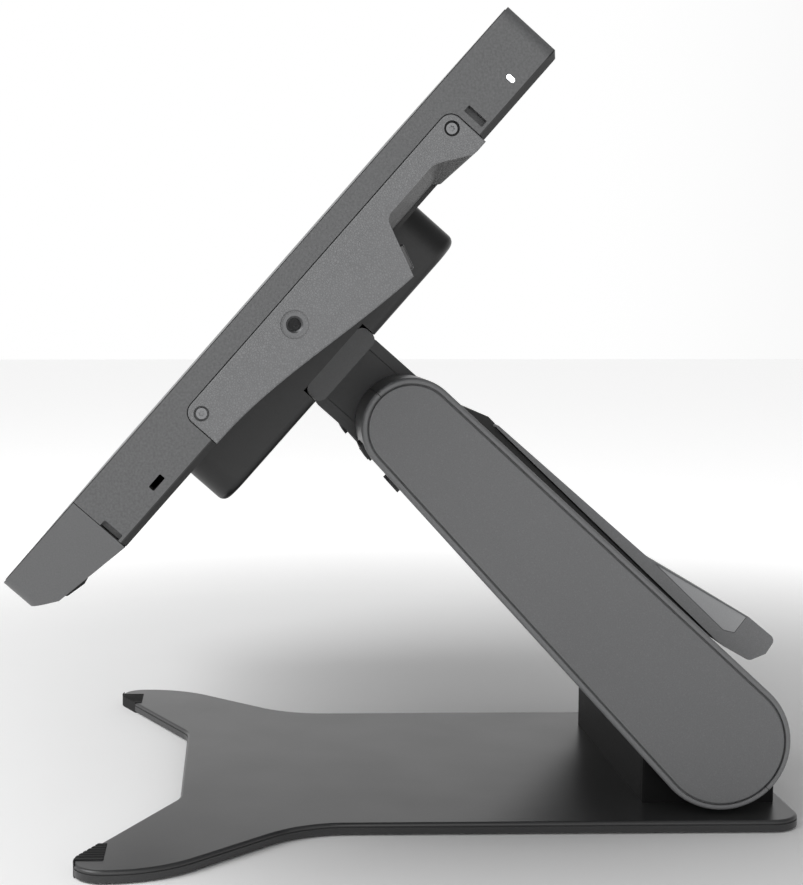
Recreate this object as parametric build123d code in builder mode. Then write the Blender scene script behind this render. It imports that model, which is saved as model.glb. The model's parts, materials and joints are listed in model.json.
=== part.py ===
from build123d import *
import math
import os

os.makedirs("parts", exist_ok=True)

# ------------------------------------------------------------------ driving dimensions
# Lengths in millimetres, angles in degrees. X runs across the object, -Y is the user's
# side, +Z is up. The origin is on the table, midway across the object.

# base plate and its rubber
pad_thickness = 1.0
pad_inset = 6.0
plate_thickness = 5.5
plate_edge_round = 1.6
plate_groove_drop = 2.2
plate_groove_width = 0.6
plate_groove_depth = 0.5
waist_half_width = 105.0
plate_rear_y = 187.0
plate_rear_round = 16.0
flare_start_y = -64.0
flare_round = 58.0
prong_half_span = 168.0
prong_shoulder_y = -133.0
prong_shoulder_round = 60.0
prong_point_y = -181.0
prong_tip_round = 14.0
notch_y = -126.0
notch_half_width = 62.0
notch_round = 22.0
tip_pad_x = 143.0
tip_pad_width = 22.0
tip_pad_low_y = -158.0
tip_cap_y = -171.0
tip_pad_rise = 0.5
tip_pad_round = 0.4

# arm and its two pivots
lower_pivot_y = 146.4
lower_pivot_z = 43.9
arm_reach = 222.7
arm_slope = 45.2
arm_lower_radius = 34.4
arm_upper_radius = 24.7
arm_half_width = 98.0
arm_wall = 3.0
arm_rim = 2.6
arm_seam = 0.3
arm_edge_round = 1.6
cover_thickness = 2.2
cover_gap = 0.9
frame_plate = 4.0
frame_plate_x = 82.0
frame_inset = 8.0
frame_tube_radius = 5.0
frame_tube_places = (85.0, 150.0)
lower_shaft_radius = 7.0
upper_shaft_radius = 6.0
shaft_half_length = 88.0
running_clearance = 0.05
bush_wall = 2.5
hole_clearance = 1.0

# post between the arm's cheeks
post_half_width = 76.0
post_radius = 34.0
post_wall = 3.0
post_cap_thickness = 3.7
post_seam = 0.3
post_to_arm = 1.0
post_swing_clearance = 10.0
core_plate = 6.0
core_plate_x = 48.0
core_flange = 5.0
core_half_depth = 24.0
core_step = 4.0
base_screw_span = 76.0
base_screw_radius = 2.5
base_screw_head_radius = 4.5
base_screw_head_height = 2.6
base_screw_drive = 2.2
base_screw_drive_depth = 1.4
screw_clearance = 0.2
spring_inner_radius = 8.6
spring_strip = 0.9
spring_strip_width = 18.0
spring_pitch = 2.1
spring_turns = 5
spring_to_core = 4.0

# neck between the arm and the tablet
neck_half_width = 56.0
neck_half_height = 22.3
neck_gap = 0.4
neck_to_arm = 1.5
neck_notch_play = 0.5
neck_panel_depth = 1.5
neck_panel_margin = 5.7
neck_round = 5.0
panel_gap = 0.4
swivel_radius = 9.0
swivel_grip = 9.0
swivel_reach = 9.0
bracket_half_width = 124.0
bracket_half_height = 20.4
bracket_proud = 2.5
channel_gap = 0.4
bracket_thickness = 10.4
bracket_round = 4.0
bracket_screw_x = 48.0
bracket_screw_s = 12.0
bracket_screw_radius = 2.0
bracket_screw_head = 4.2
bracket_screw_sink = 4.4

# release lever on the arm's back
spine_half_width = 42.0
spine_wall = 4.0
spine_floor_rise = 3.6
spine_ramp_start = 13.9
spine_ramp_end = 31.5
spine_end = 198.0
spine_height = 32.5
spine_ramp_height = 34.2
lever_half_width = 46.0
lever_start = 38.0
lever_gap = 0.5
lever_bar = 1.5
lever_rise = 0.0252
lever_pin_place = 40.5
lever_pin_half = 40.5
lever_pin_drop = 1.5
lever_pin_radius = 1.2
lever_knuckle_radius = 2.4
inlay_depth = 1.6
inlay_margin = 4.5
inlay_gap = 0.25
flare_start = 143.9
flare_end = 205.1
lever_end = 225.9
lever_tip_height = 59.8
flare_height = 42.0
flare_end_height = 58.0
lever_face_height = 50.7
lever_heel = (222.3, 41.9)
lever_sole = (207.0, 37.6)
lever_tip_round = 3.6
lever_heel_round = 4.0
spine_lip = 5.0
spine_ramp_base = 1.8
spine_toe = 4.0
leaf_half_width = 12.0
leaf_thickness = 0.8
leaf_offset = 8.0
leaf_length = 32.0
bumper_rise = 1.7
bumper_length = 7.5
bumper_width = 22.0
bumper_inset = 8.0
bumper_places = (-7.0, 15.0)

# tablet
tablet_width = 486.0
tablet_height = 301.0
screen_tilt = 48.63
glass_to_pivot = 100.9
pivot_up_tablet = 156.0
tablet_corner = 6.0
body_depth = 27.4
glass_thickness = 1.8
glass_margin = 1.4
side_wall = 4.0
side_flange = 9.0
side_depth = 24.6
cap_height = 43.4
cap_seam = 0.3
rear_bevel = 2.3
panel_clearance = 0.4
panel_thickness = 3.0
backlight_thickness = 3.0
digitizer_thickness = 0.8
stack_gap = 0.2
mid_frame_thickness = 2.0

# electronics housing on the tablet's back
housing_half_width = 126.0
housing_low = 69.7
housing_high = 235.7
housing_back = 54.9
housing_wall = 2.5
housing_corner = 15.0
housing_round = 4.0
vent_half_width = 108.0
vent_depth = 11.0
vent_slot = 2.4
vent_pitch = 5.0
port_width = 84.0
usb_places = (-28.0, -12.0)
usb_size = (9.0, 3.2)
video_place = 8.0
video_size = (15.0, 5.4)
supply_place = 28.0
supply_radius = 3.2

# grips, keys and side fittings
grip_low = 98.3
grip_high = 256.0
grip_front = 9.4
grip_plate = 3.8
grip_inner_x = 193.0
grip_block_front = 13.4
grip_gap = 0.3
grip_peak_s = 198.5
grip_peak_d = 42.0
grip_screw_low = 103.3
grip_screw_high = 251.0
grip_screw_d = 15.0
screw_head_radius = 2.2
screw_head_height = 1.4
screw_recess_radius = 3.1
screw_recess_depth = 2.2
screw_shank_radius = 1.2
screw_length = 6.5
screw_drive_radius = 0.85
screw_drive_lobe = 0.32
screw_drive_depth = 0.9
insert_s = 153.7
insert_d = 19.4
insert_hole_radius = 2.55
insert_radius = 4.5
insert_length = 9.0
insert_groove_radius = 5.7
insert_sink = 0.7
key_width = 8.4
key_height = 10.6
key_length = 5.6
key_proud = 2.2
key_gap = 0.3
key_pitch = 10.6
key_travel_room = 1.4
key_count = 4
key_depth = 34.6
key_corner = 1.2
key_middle_x = 217.0
key_face_slope = 0.4355
scoop_floor = 18.6
scoop_inner_floor = 26.0
scoop_end_s = 236.0
scoop_round = 4.2
scoop_ramp = 1.45
scoop_end_round = 8.0
scoop_lip_round = 6.0
grip_back_rise = 0.9
grip_overrun = 3.0
grip_overrun_rise = 0.3
grip_back_end = 15.0
grip_upper_reach = 31.6
grip_upper_drop = 5.2
grip_lower_reach = 64.2
grip_lower_drop = 11.4
grip_swell_end = 9.0
grip_swell_end_rise = 0.2
scoop_overcut = 20.0
scoop_inner_share = 0.15
cut_margin = 1.0
cut_block = 100.0
pocket_reach = 60.0
grip_screw_margin_high = 4.0
grip_screw_margin_low = 5.0
grip_corner = 5.0
grip_edge_round = 0.6

# slots, status light and power button in the side frame
slot_places = (44.9, 260.5)
slot_middle_d = 18.7
slot_width = 3.1
slot_length = 9.4
slot_depth = 2.6
slot_corner = 0.5
lock_s = 71.2
lock_d = 19.7
lock_length = 6.9
lock_width = 2.7
status_s = 280.2
status_d = 19.3
status_width = 1.9
status_length = 3.7
status_thickness = 1.5
power_x = 190.0
power_d = 15.5
power_length = 14.0
power_width = 5.0
power_height = 3.2
power_proud = 0.5
power_travel_room = 1.2

# bottom end cap
cap_nose_d = 14.5
cap_chamfer_s = 10.0
cap_chamfer_d = 21.6
cap_back_d = 27.2
cap_wall = 2.5
foot_low = 11.0
foot_high = 22.0
foot_rise = 1.4
foot_outer_x = 236.0
foot_length = 34.0

# electronics
board_half_width = 150.0
board_low = 88.0
board_high = 216.0
board_depth = 16.0
board_thickness = 1.6
board_chips = ((-80, 170, 32), (-20, 120, 18), (40, 110, 14), (110, 105, 22), (-120, 105, 12))
sink_x = -64.0
sink_s = 170.0
sink_width = 88.0
sink_height = 70.0
sink_fins = 14
sink_pitch = 6.0
sink_fin_height = 16.0
fan_x = 80.0
fan_s = 172.0
fan_size = 76.0
fan_radius = 33.0
fan_hub_radius = 12.0
fan_front = 28.6
fan_depth = 15.0
fan_wall = 2.0
fan_pin_radius = 1.5
fan_blades = 11
fan_blade_thickness = 1.2
fan_blade_lean = 24.0
fan_blade_overlap = 3.4

# small rounds and insets
post_cap_round = 1.0
arm_cover_round = 0.6
lever_tip_back = 2.0
lever_lip = 3.0
stack_foot = 10.0
board_inset = 2.0
fan_rim = 4.0
opening_inset = 8.0
opening_corner = 9.0

# ------------------------------------------------------------------ derived frames
plate_bottom = pad_thickness
plate_top = pad_thickness + plate_thickness
tilt = math.radians(screen_tilt)
slope = math.radians(arm_slope)
upper_pivot_y = lower_pivot_y - arm_reach * math.cos(slope)
upper_pivot_z = lower_pivot_z + arm_reach * math.sin(slope)
up_tablet = Vector(0, math.cos(tilt), math.sin(tilt))
to_back = Vector(0, math.sin(tilt), -math.cos(tilt))
up_arm = Vector(0, -math.cos(slope), math.sin(slope))
upper_pivot = Vector(0, upper_pivot_y, upper_pivot_z)
tablet_foot = upper_pivot - up_tablet * pivot_up_tablet - to_back * glass_to_pivot
half_width = tablet_width / 2
backward = Axis(tablet_foot, to_back)


def tablet_side(x):
    """Side plane of the tablet: first axis up the tablet, second axis its depth."""
    return Plane(origin=tablet_foot + Vector(x, 0, 0), x_dir=up_tablet, z_dir=(-1, 0, 0))


def tablet_level(depth):
    """Plane parallel to the glass, at a depth behind it: x across, y up the tablet."""
    return Plane(origin=tablet_foot + to_back * depth, x_dir=(1, 0, 0), z_dir=to_back * -1)


def tablet_end(height):
    """Plane square to the tablet's height, facing up it: x across, y towards the front."""
    return Plane(origin=tablet_foot + up_tablet * height, x_dir=(-1, 0, 0), z_dir=up_tablet)


def arm_side(x):
    """Side plane of the arm: first axis from the lower pivot to the upper, second rearward."""
    return Plane(origin=(x, lower_pivot_y, lower_pivot_z), x_dir=up_arm, z_dir=(-1, 0, 0))


def arm_outline(inset, x):
    """The arm's side outline, a hull of its two end circles, at one place across."""
    with BuildSketch(arm_side(x)) as outline:
        Circle(arm_lower_radius - inset)
        with Locations((arm_reach, 0)):
            Circle(arm_upper_radius - inset)
        make_hull()
    return outline.sketch


def round_corner(outline, point, radius):
    """Rounds the corner of a sketch that lies nearest to a point."""
    corner = outline.vertices().sort_by_distance(Vector(*point, 0))[0]
    fillet(corner, radius=radius)


def save(builder, name):
    """Label a finished piece and write it."""
    builder.part.label = name
    export_step(builder.part, f"parts/{name}.step")


# ------------------------------------------------------------------ base
def plate_outline(inset, z):
    """The base plate's outline: a waist, two front prongs and a notch between them."""
    prong_points = [
        (waist_half_width, plate_rear_y, plate_rear_round),
        (waist_half_width, flare_start_y, flare_round),
        (prong_half_span, prong_shoulder_y, prong_shoulder_round),
        (prong_half_span, prong_point_y, prong_tip_round),
        (notch_half_width, notch_y, notch_round),
    ]
    right = [(x, y) for x, y, radius in prong_points]
    left = [(-x, y) for x, y in reversed(right)]
    with BuildSketch(Plane.XY.offset(z)) as outline:
        with BuildLine():
            Polyline(*right, *left, close=True)
        make_face()
        for x, y, radius in prong_points:
            corners = [v for v in outline.vertices() if abs(abs(v.X) - x) < 0.01 and abs(v.Y - y) < 0.01]
            fillet(corners, radius=radius)
        if inset > 0:
            offset(amount=-inset, mode=Mode.REPLACE)
    return outline.sketch


def tip_pad_zone(z):
    """Where the rubber tips take over from the plate, one square on each prong."""
    with BuildSketch(Plane.XY.offset(z)) as zone:
        pad_length = tip_pad_low_y - prong_point_y
        cap_length = tip_cap_y - prong_point_y
        for side in (-1, 1):
            with Locations((side * tip_pad_x, prong_point_y + pad_length / 2)):
                Rectangle(tip_pad_width, pad_length)
            with Locations((side * prong_half_span, prong_point_y + cap_length / 2)):
                Rectangle(2 * (prong_half_span - tip_pad_x), cap_length)
    return zone.sketch


with BuildPart() as base_pad:
    extrude(plate_outline(pad_inset, 0), amount=pad_thickness)
    extrude(tip_pad_zone(0), amount=pad_thickness, mode=Mode.SUBTRACT)
save(base_pad, "base_pad")

groove_level = plate_top - plate_groove_drop
with BuildPart() as edge_groove:
    extrude(plate_outline(0, groove_level), amount=plate_groove_width)
    extrude(plate_outline(plate_groove_depth, groove_level), amount=plate_groove_width, mode=Mode.SUBTRACT)

with BuildPart() as base_plate:
    extrude(plate_outline(0, plate_bottom), amount=plate_thickness)
    fillet(base_plate.faces().sort_by(Axis.Z)[-1].edges(), radius=plate_edge_round)
    add(edge_groove.part, mode=Mode.SUBTRACT)
    extrude(tip_pad_zone(plate_bottom), amount=plate_thickness, mode=Mode.SUBTRACT)
    with BuildSketch(Plane.XY.offset(plate_bottom)):
        with Locations((0, lower_pivot_y)):
            with GridLocations(base_screw_span, core_half_depth, 2, 2):
                Circle(base_screw_radius)
    extrude(amount=plate_thickness, mode=Mode.SUBTRACT)
    with BuildSketch(Plane.XY.offset(plate_bottom)):
        with Locations((0, lower_pivot_y)):
            with GridLocations(base_screw_span, core_half_depth, 2, 2):
                Circle(base_screw_head_radius + screw_clearance)
    extrude(amount=base_screw_head_height, mode=Mode.SUBTRACT)
save(base_plate, "base_plate")

with BuildPart() as prong_pads:
    extrude(plate_outline(0, 0), amount=plate_top + tip_pad_rise)
    extrude(tip_pad_zone(0), amount=plate_top + tip_pad_rise, mode=Mode.INTERSECT)
    fillet(prong_pads.faces().group_by(Axis.Z)[-1].edges(), radius=tip_pad_round)
save(prong_pads, "prong_pads")

# ------------------------------------------------------------------ post
def post_outline(inset, x):
    """The post's side outline: a round top about the lower pivot on straight sides."""
    radius = post_radius - inset
    height = lower_pivot_z - plate_top
    side = Plane(origin=(x, lower_pivot_y, lower_pivot_z), x_dir=(0, 1, 0), z_dir=(1, 0, 0))
    with BuildSketch(side) as outline:
        Circle(radius)
        with Locations((0, -height / 2)):
            Rectangle(2 * radius, height)
    return outline.sketch


def pivot_axis(y, z, x):
    """Plane across the object, centred on a pivot, at one place across."""
    return Plane(origin=(x, y, z), x_dir=(0, 1, 0), z_dir=(1, 0, 0))


post_shell_half = post_half_width - post_cap_thickness - post_seam
with BuildPart() as post_shell:
    extrude(post_outline(0, -post_shell_half), amount=2 * post_shell_half)
    extrude(post_outline(post_wall, -post_shell_half), amount=2 * post_shell_half, mode=Mode.SUBTRACT)
save(post_shell, "post_shell")

with BuildPart() as post_caps:
    extrude(post_outline(0, post_half_width - post_cap_thickness), amount=post_cap_thickness)
    cap_face = post_caps.faces().sort_by(Axis.X)[-1]
    fillet(cap_face.edges().filter_by(GeomType.CIRCLE), radius=post_cap_round)
    with BuildSketch(pivot_axis(lower_pivot_y, lower_pivot_z, post_half_width - post_cap_thickness)):
        Circle(lower_shaft_radius + hole_clearance)
    extrude(amount=post_cap_thickness, mode=Mode.SUBTRACT)
    mirror(about=Plane.YZ)
save(post_caps, "post_caps")

lower_bush_radius = lower_shaft_radius + running_clearance + bush_wall
upper_bush_radius = upper_shaft_radius + running_clearance + bush_wall

with BuildPart() as post_core:
    with BuildSketch(Plane.XY.offset(plate_top)):
        with Locations((0, lower_pivot_y)):
            Rectangle(2 * (core_plate_x + core_plate), 2 * core_half_depth)
    extrude(amount=core_flange)
    with BuildSketch(pivot_axis(lower_pivot_y, lower_pivot_z, core_plate_x)):
        Circle(core_half_depth - core_step)
        with Locations((0, -(lower_pivot_z - plate_top) / 2)):
            Rectangle(2 * (core_half_depth - core_step), lower_pivot_z - plate_top)
        Circle(lower_bush_radius, mode=Mode.SUBTRACT)
    extrude(amount=core_plate)
    mirror(about=Plane.YZ)
    with BuildSketch(Plane.XY.offset(plate_top)):
        with Locations((0, lower_pivot_y)):
            with GridLocations(base_screw_span, core_half_depth, 2, 2):
                Circle(base_screw_radius)
    extrude(amount=core_flange, mode=Mode.SUBTRACT)
save(post_core, "post_core")

with BuildPart() as base_screws:
    with BuildSketch(Plane.XY.offset(plate_bottom)):
        with Locations((0, lower_pivot_y)):
            with GridLocations(base_screw_span, core_half_depth, 2, 2):
                Circle(base_screw_head_radius)
    extrude(amount=base_screw_head_height)
    with BuildSketch(Plane.XY.offset(plate_bottom + base_screw_head_height)):
        with Locations((0, lower_pivot_y)):
            with GridLocations(base_screw_span, core_half_depth, 2, 2):
                Circle(base_screw_radius)
    extrude(amount=plate_thickness + core_flange - base_screw_head_height)
    with BuildSketch(Plane.XY.offset(plate_bottom)):
        with Locations((0, lower_pivot_y)):
            with GridLocations(base_screw_span, core_half_depth, 2, 2):
                RegularPolygon(radius=base_screw_drive, side_count=6)
    extrude(amount=base_screw_drive_depth, mode=Mode.SUBTRACT)
save(base_screws, "base_screws")

with BuildPart() as lower_bushes:
    with BuildSketch(pivot_axis(lower_pivot_y, lower_pivot_z, core_plate_x)):
        Circle(lower_bush_radius)
        Circle(lower_shaft_radius + running_clearance, mode=Mode.SUBTRACT)
    extrude(amount=core_plate)
    mirror(about=Plane.YZ)
save(lower_bushes, "lower_bushes")

def spiral_point(turns, shift):
    """A point of the clock spring's strip, a number of turns out from its inner end."""
    radius = spring_inner_radius + spring_pitch * turns + shift
    angle = 2 * math.pi * turns
    return (radius * math.cos(angle), radius * math.sin(angle))


with BuildPart() as lift_springs:
    spring_x = core_plate_x - spring_strip_width - spring_to_core
    with BuildSketch(pivot_axis(lower_pivot_y, lower_pivot_z, spring_x)):
        with BuildLine():
            steps = [step / 12 for step in range(12 * spring_turns + 1)]
            inner_edge = Spline(*[spiral_point(turns, 0) for turns in steps])
            outer_edge = Spline(*[spiral_point(turns, spring_strip) for turns in steps])
            Line(inner_edge @ 0, outer_edge @ 0)
            Line(inner_edge @ 1, outer_edge @ 1)
        make_face()
    extrude(amount=spring_strip_width)
    mirror(about=Plane.YZ)
save(lift_springs, "lift_springs")

# ------------------------------------------------------------------ arm
post_notch_radius = post_radius + post_swing_clearance
post_notch_half = post_half_width + post_to_arm
neck_notch_radius = arm_upper_radius + neck_notch_play
neck_notch_half = neck_half_width + neck_to_arm
side_wall_x = arm_half_width - cover_thickness

with BuildPart() as arm_cavity:
    extrude(arm_outline(arm_wall, side_wall_x - arm_wall), amount=2 * (side_wall_x - arm_wall))
    with BuildSketch(arm_side(post_notch_half + arm_wall)):
        Circle(post_notch_radius + arm_wall)
    extrude(amount=2 * (post_notch_half + arm_wall), mode=Mode.SUBTRACT)
    with BuildSketch(arm_side(neck_notch_half + arm_wall)):
        with Locations((arm_reach, 0)):
            Circle(neck_notch_radius + arm_wall)
    extrude(amount=2 * (neck_notch_half + arm_wall), mode=Mode.SUBTRACT)

with BuildPart() as arm_shell:
    extrude(arm_outline(0, arm_half_width), amount=2 * arm_half_width)
    fillet(arm_shell.faces().filter_by(Axis.X).edges(), radius=arm_edge_round)
    extrude(arm_outline(arm_rim, arm_half_width), amount=cover_thickness, mode=Mode.SUBTRACT)
    extrude(arm_outline(arm_rim, -side_wall_x), amount=cover_thickness, mode=Mode.SUBTRACT)
    add(arm_cavity.part, mode=Mode.SUBTRACT)
    with BuildSketch(arm_side(post_notch_half)):
        Circle(post_notch_radius)
    extrude(amount=2 * post_notch_half, mode=Mode.SUBTRACT)
    with BuildSketch(arm_side(neck_notch_half)):
        with Locations((arm_reach, 0)):
            Circle(neck_notch_radius)
    extrude(amount=2 * neck_notch_half, mode=Mode.SUBTRACT)
    with BuildSketch(arm_side(side_wall_x - arm_wall)):
        Circle(lower_shaft_radius + hole_clearance)
        with Locations((arm_reach, 0)):
            Circle(upper_shaft_radius + hole_clearance)
    extrude(amount=2 * (side_wall_x - arm_wall), mode=Mode.SUBTRACT)

with BuildPart() as seam_cut:
    with BuildSketch(arm_side(arm_half_width + 1)):
        with Locations((arm_reach / 2, 0)):
            Rectangle(2 * arm_reach, arm_seam)
    extrude(amount=2 * arm_half_width + 2)

arm_middle = Plane(origin=(0, lower_pivot_y, lower_pivot_z), x_dir=(1, 0, 0), z_dir=arm_side(0).y_dir)

with BuildPart() as arm_rear_shell:
    add(arm_shell.part)
    split(bisect_by=arm_middle, keep=Keep.TOP)
    add(seam_cut.part, mode=Mode.SUBTRACT)
save(arm_rear_shell, "arm_rear_shell")

with BuildPart() as arm_front_shell:
    add(arm_shell.part)
    split(bisect_by=arm_middle, keep=Keep.BOTTOM)
    add(seam_cut.part, mode=Mode.SUBTRACT)
save(arm_front_shell, "arm_front_shell")

with BuildPart() as arm_cover_right:
    extrude(arm_outline(arm_rim + cover_gap, arm_half_width), amount=cover_thickness)
    fillet(arm_cover_right.faces().sort_by(Axis.X)[-1].edges(), radius=arm_cover_round)
save(arm_cover_right, "arm_cover_right")

with BuildPart() as arm_cover_left:
    mirror(arm_cover_right.part, about=Plane.YZ)
save(arm_cover_left, "arm_cover_left")

with BuildPart() as arm_frame:
    extrude(arm_outline(frame_inset, frame_plate_x + frame_plate), amount=frame_plate)
    with BuildSketch(arm_side(frame_plate_x + frame_plate)):
        Circle(lower_shaft_radius)
        with Locations((arm_reach, 0)):
            Circle(upper_shaft_radius)
    extrude(amount=frame_plate, mode=Mode.SUBTRACT)
    mirror(about=Plane.YZ)
    with BuildSketch(arm_side(frame_plate_x)):
        for place in frame_tube_places:
            with Locations((place, 0)):
                Circle(frame_tube_radius)
    extrude(amount=2 * frame_plate_x)
save(arm_frame, "arm_frame")

with BuildPart() as lower_shaft:
    with BuildSketch(pivot_axis(lower_pivot_y, lower_pivot_z, -shaft_half_length)):
        Circle(lower_shaft_radius)
    extrude(amount=2 * shaft_half_length)
    chamfer(lower_shaft.edges().filter_by(GeomType.CIRCLE), length=0.8)
save(lower_shaft, "lower_shaft")

with BuildPart() as upper_shaft:
    with BuildSketch(pivot_axis(upper_pivot_y, upper_pivot_z, -shaft_half_length)):
        Circle(upper_shaft_radius)
    extrude(amount=2 * shaft_half_length)
    chamfer(upper_shaft.edges().filter_by(GeomType.CIRCLE), length=0.8)
save(upper_shaft, "upper_shaft")

# ------------------------------------------------------------------ spine and release lever
# Both are drawn with distances from the upper pivot, measured down the arm.
spine_floor = arm_upper_radius + spine_floor_rise
knuckle_half_width = spine_half_width - spine_wall - 1


def spine_floor_at(distance):
    """Height of the spine's floor, which rises with the arm towards its lower end."""
    rise = (arm_lower_radius - arm_upper_radius) / arm_reach
    return spine_floor + rise * (distance - spine_ramp_end - spine_wall)


def spine_top_at(distance):
    """Height of the spine's side walls, which the lever lies along."""
    return spine_height + lever_rise * (distance - lever_start)


def lever_floor_at(distance):
    """Height of the lever's underside, just clear of the spine's walls."""
    return spine_top_at(distance) + lever_gap


def from_upper(distance, height):
    """A point of the arm's side plane, from its distance below the upper pivot."""
    return (arm_reach - distance, height)


lever_pin_height = spine_top_at(lever_pin_place) - lever_pin_drop
spine_sky = spine_top_at(spine_end) + 10

with BuildPart() as spine_cover:
    with BuildSketch(arm_side(spine_half_width)):
        with BuildLine():
            Polyline(
                from_upper(spine_ramp_start, 0),
                from_upper(spine_ramp_start, arm_upper_radius + spine_ramp_base),
                from_upper(spine_ramp_end, spine_ramp_height),
                from_upper(spine_ramp_end + spine_lip, spine_ramp_height),
                from_upper(spine_ramp_end + spine_lip, spine_top_at(spine_ramp_end + spine_lip)),
                from_upper(spine_end, spine_top_at(spine_end)),
                from_upper(spine_end + spine_toe, 0),
                close=True,
            )
        make_face()
    extrude(amount=2 * spine_half_width)
    extrude(arm_outline(0, arm_half_width), amount=2 * arm_half_width, mode=Mode.SUBTRACT)
    with BuildSketch(arm_side(spine_half_width - spine_wall)):
        with BuildLine():
            Polyline(
                from_upper(spine_ramp_end + spine_wall, spine_floor),
                from_upper(spine_ramp_end + spine_wall, spine_sky),
                from_upper(spine_end - spine_wall, spine_sky),
                from_upper(spine_end - spine_wall, spine_floor_at(spine_end - spine_wall)),
                close=True,
            )
        make_face()
    extrude(amount=2 * (spine_half_width - spine_wall), mode=Mode.SUBTRACT)
    with BuildSketch(arm_side(lever_pin_half)):
        with Locations(from_upper(lever_pin_place, lever_pin_height)):
            Circle(lever_pin_radius)
    extrude(amount=2 * lever_pin_half, mode=Mode.SUBTRACT)
save(spine_cover, "spine_cover")


def inlay_outline(inset, x):
    """The three-cornered inlay in the lever's side, parallel to the lever's two edges."""
    with BuildSketch(arm_side(x)) as outline:
        with BuildLine():
            Polyline(
                from_upper(flare_start + inlay_margin, flare_height + 0.3),
                from_upper(flare_end - 0.8, flare_end_height - 0.9),
                from_upper(flare_end + 0.7, flare_end_height - 11.3),
                from_upper(flare_end - 4.6, flare_height + 1.4),
                close=True,
            )
        make_face()
        if inset > 0:
            offset(amount=-inset, mode=Mode.REPLACE)
    return outline.sketch


with BuildPart() as release_lever:
    with BuildSketch(arm_side(lever_half_width)) as lever_outline:
        with BuildLine():
            Polyline(
                from_upper(lever_start, lever_floor_at(lever_start)),
                from_upper(lever_start, lever_floor_at(lever_start) + lever_bar),
                from_upper(flare_start, flare_height),
                from_upper(flare_end, flare_end_height),
                from_upper(lever_end - lever_tip_back, lever_tip_height),
                from_upper(lever_end, lever_face_height),
                from_upper(*lever_heel),
                from_upper(*lever_sole),
                from_upper(spine_end + lever_lip, lever_floor_at(spine_end + lever_lip)),
                close=True,
            )
        make_face()
        round_corner(lever_outline, from_upper(lever_end - lever_tip_back, lever_tip_height), lever_tip_round)
        round_corner(lever_outline, from_upper(*lever_heel), lever_heel_round)
    extrude(amount=2 * lever_half_width)
    for lever_side in (lever_half_width, -lever_half_width + inlay_depth):
        extrude(inlay_outline(0, lever_side), amount=inlay_depth, mode=Mode.SUBTRACT)
    knuckle_top = lever_floor_at(lever_pin_place) + lever_bar / 2
    with BuildSketch(arm_side(knuckle_half_width)):
        with Locations(from_upper(lever_pin_place, lever_pin_height)):
            Circle(lever_knuckle_radius)
        with Locations(from_upper(lever_pin_place, (lever_pin_height + knuckle_top) / 2)):
            Rectangle(2 * lever_knuckle_radius, knuckle_top - lever_pin_height)
    extrude(amount=2 * knuckle_half_width)
    with BuildSketch(arm_side(knuckle_half_width)):
        with Locations(from_upper(lever_pin_place, lever_pin_height)):
            Circle(lever_pin_radius + running_clearance)
    extrude(amount=2 * knuckle_half_width, mode=Mode.SUBTRACT)
save(release_lever, "release_lever")

with BuildPart() as lever_inlays:
    extrude(inlay_outline(inlay_gap, lever_half_width), amount=inlay_depth)
    mirror(about=Plane.YZ)
save(lever_inlays, "lever_inlays")

with BuildPart() as lever_pin:
    with BuildSketch(arm_side(lever_pin_half)):
        with Locations(from_upper(lever_pin_place, lever_pin_height)):
            Circle(lever_pin_radius)
    extrude(amount=2 * lever_pin_half)
save(lever_pin, "lever_pin")

leaf_start = lever_pin_place + leaf_offset
leaf_end = leaf_start + leaf_length
with BuildPart() as lever_spring:
    with BuildSketch(arm_side(leaf_half_width)):
        with BuildLine():
            Polyline(
                from_upper(leaf_start, spine_floor_at(leaf_start)),
                from_upper(leaf_end, spine_floor_at(leaf_end)),
                from_upper(leaf_end, spine_floor_at(leaf_end) + leaf_thickness),
                from_upper(leaf_start + 6, spine_floor_at(leaf_start + 6) + leaf_thickness),
                from_upper(leaf_start + 2, spine_top_at(leaf_start)),
                from_upper(leaf_start + 1, spine_top_at(leaf_start)),
                close=True,
            )
        make_face()
    extrude(amount=2 * leaf_half_width)
save(lever_spring, "lever_spring")

with BuildPart() as arm_bumpers:
    extrude(arm_outline(-bumper_rise, arm_half_width - bumper_inset), amount=bumper_width)
    extrude(arm_outline(0, arm_half_width), amount=2 * arm_half_width, mode=Mode.SUBTRACT)
    with BuildSketch(arm_side(arm_half_width)):
        for place in bumper_places:
            with Locations(from_upper(place, -arm_upper_radius)):
                Rectangle(bumper_length, 4 * bumper_rise)
    extrude(amount=2 * arm_half_width, mode=Mode.INTERSECT)
    mirror(about=Plane.YZ)
save(arm_bumpers, "arm_bumpers")

# ------------------------------------------------------------------ neck
def neck_outline(inset, x):
    """The neck's side outline: a square body with a round end about the upper pivot."""
    length = glass_to_pivot - neck_front
    with BuildSketch(tablet_side(x)) as outline:
        with Locations((pivot_up_tablet, glass_to_pivot)):
            Circle(neck_half_height - inset)
        with Locations((pivot_up_tablet, neck_front + length / 2)):
            Rectangle(2 * (neck_half_height - inset), length)
    return outline.sketch


def neck_panel_outline(inset, x):
    """The plain inset panel on the neck's side, up to the arm's round end."""
    length = glass_to_pivot - neck_front
    with BuildSketch(tablet_side(x)) as outline:
        with Locations((pivot_up_tablet, neck_front + length / 2)):
            Rectangle(2 * (neck_half_height - neck_panel_margin - inset), length - 2 * inset)
    return outline.sketch


bracket_back = housing_back + bracket_proud
bracket_front = bracket_back - bracket_thickness
neck_front = bracket_back + neck_gap
upper_bush_length = 10.0

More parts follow.
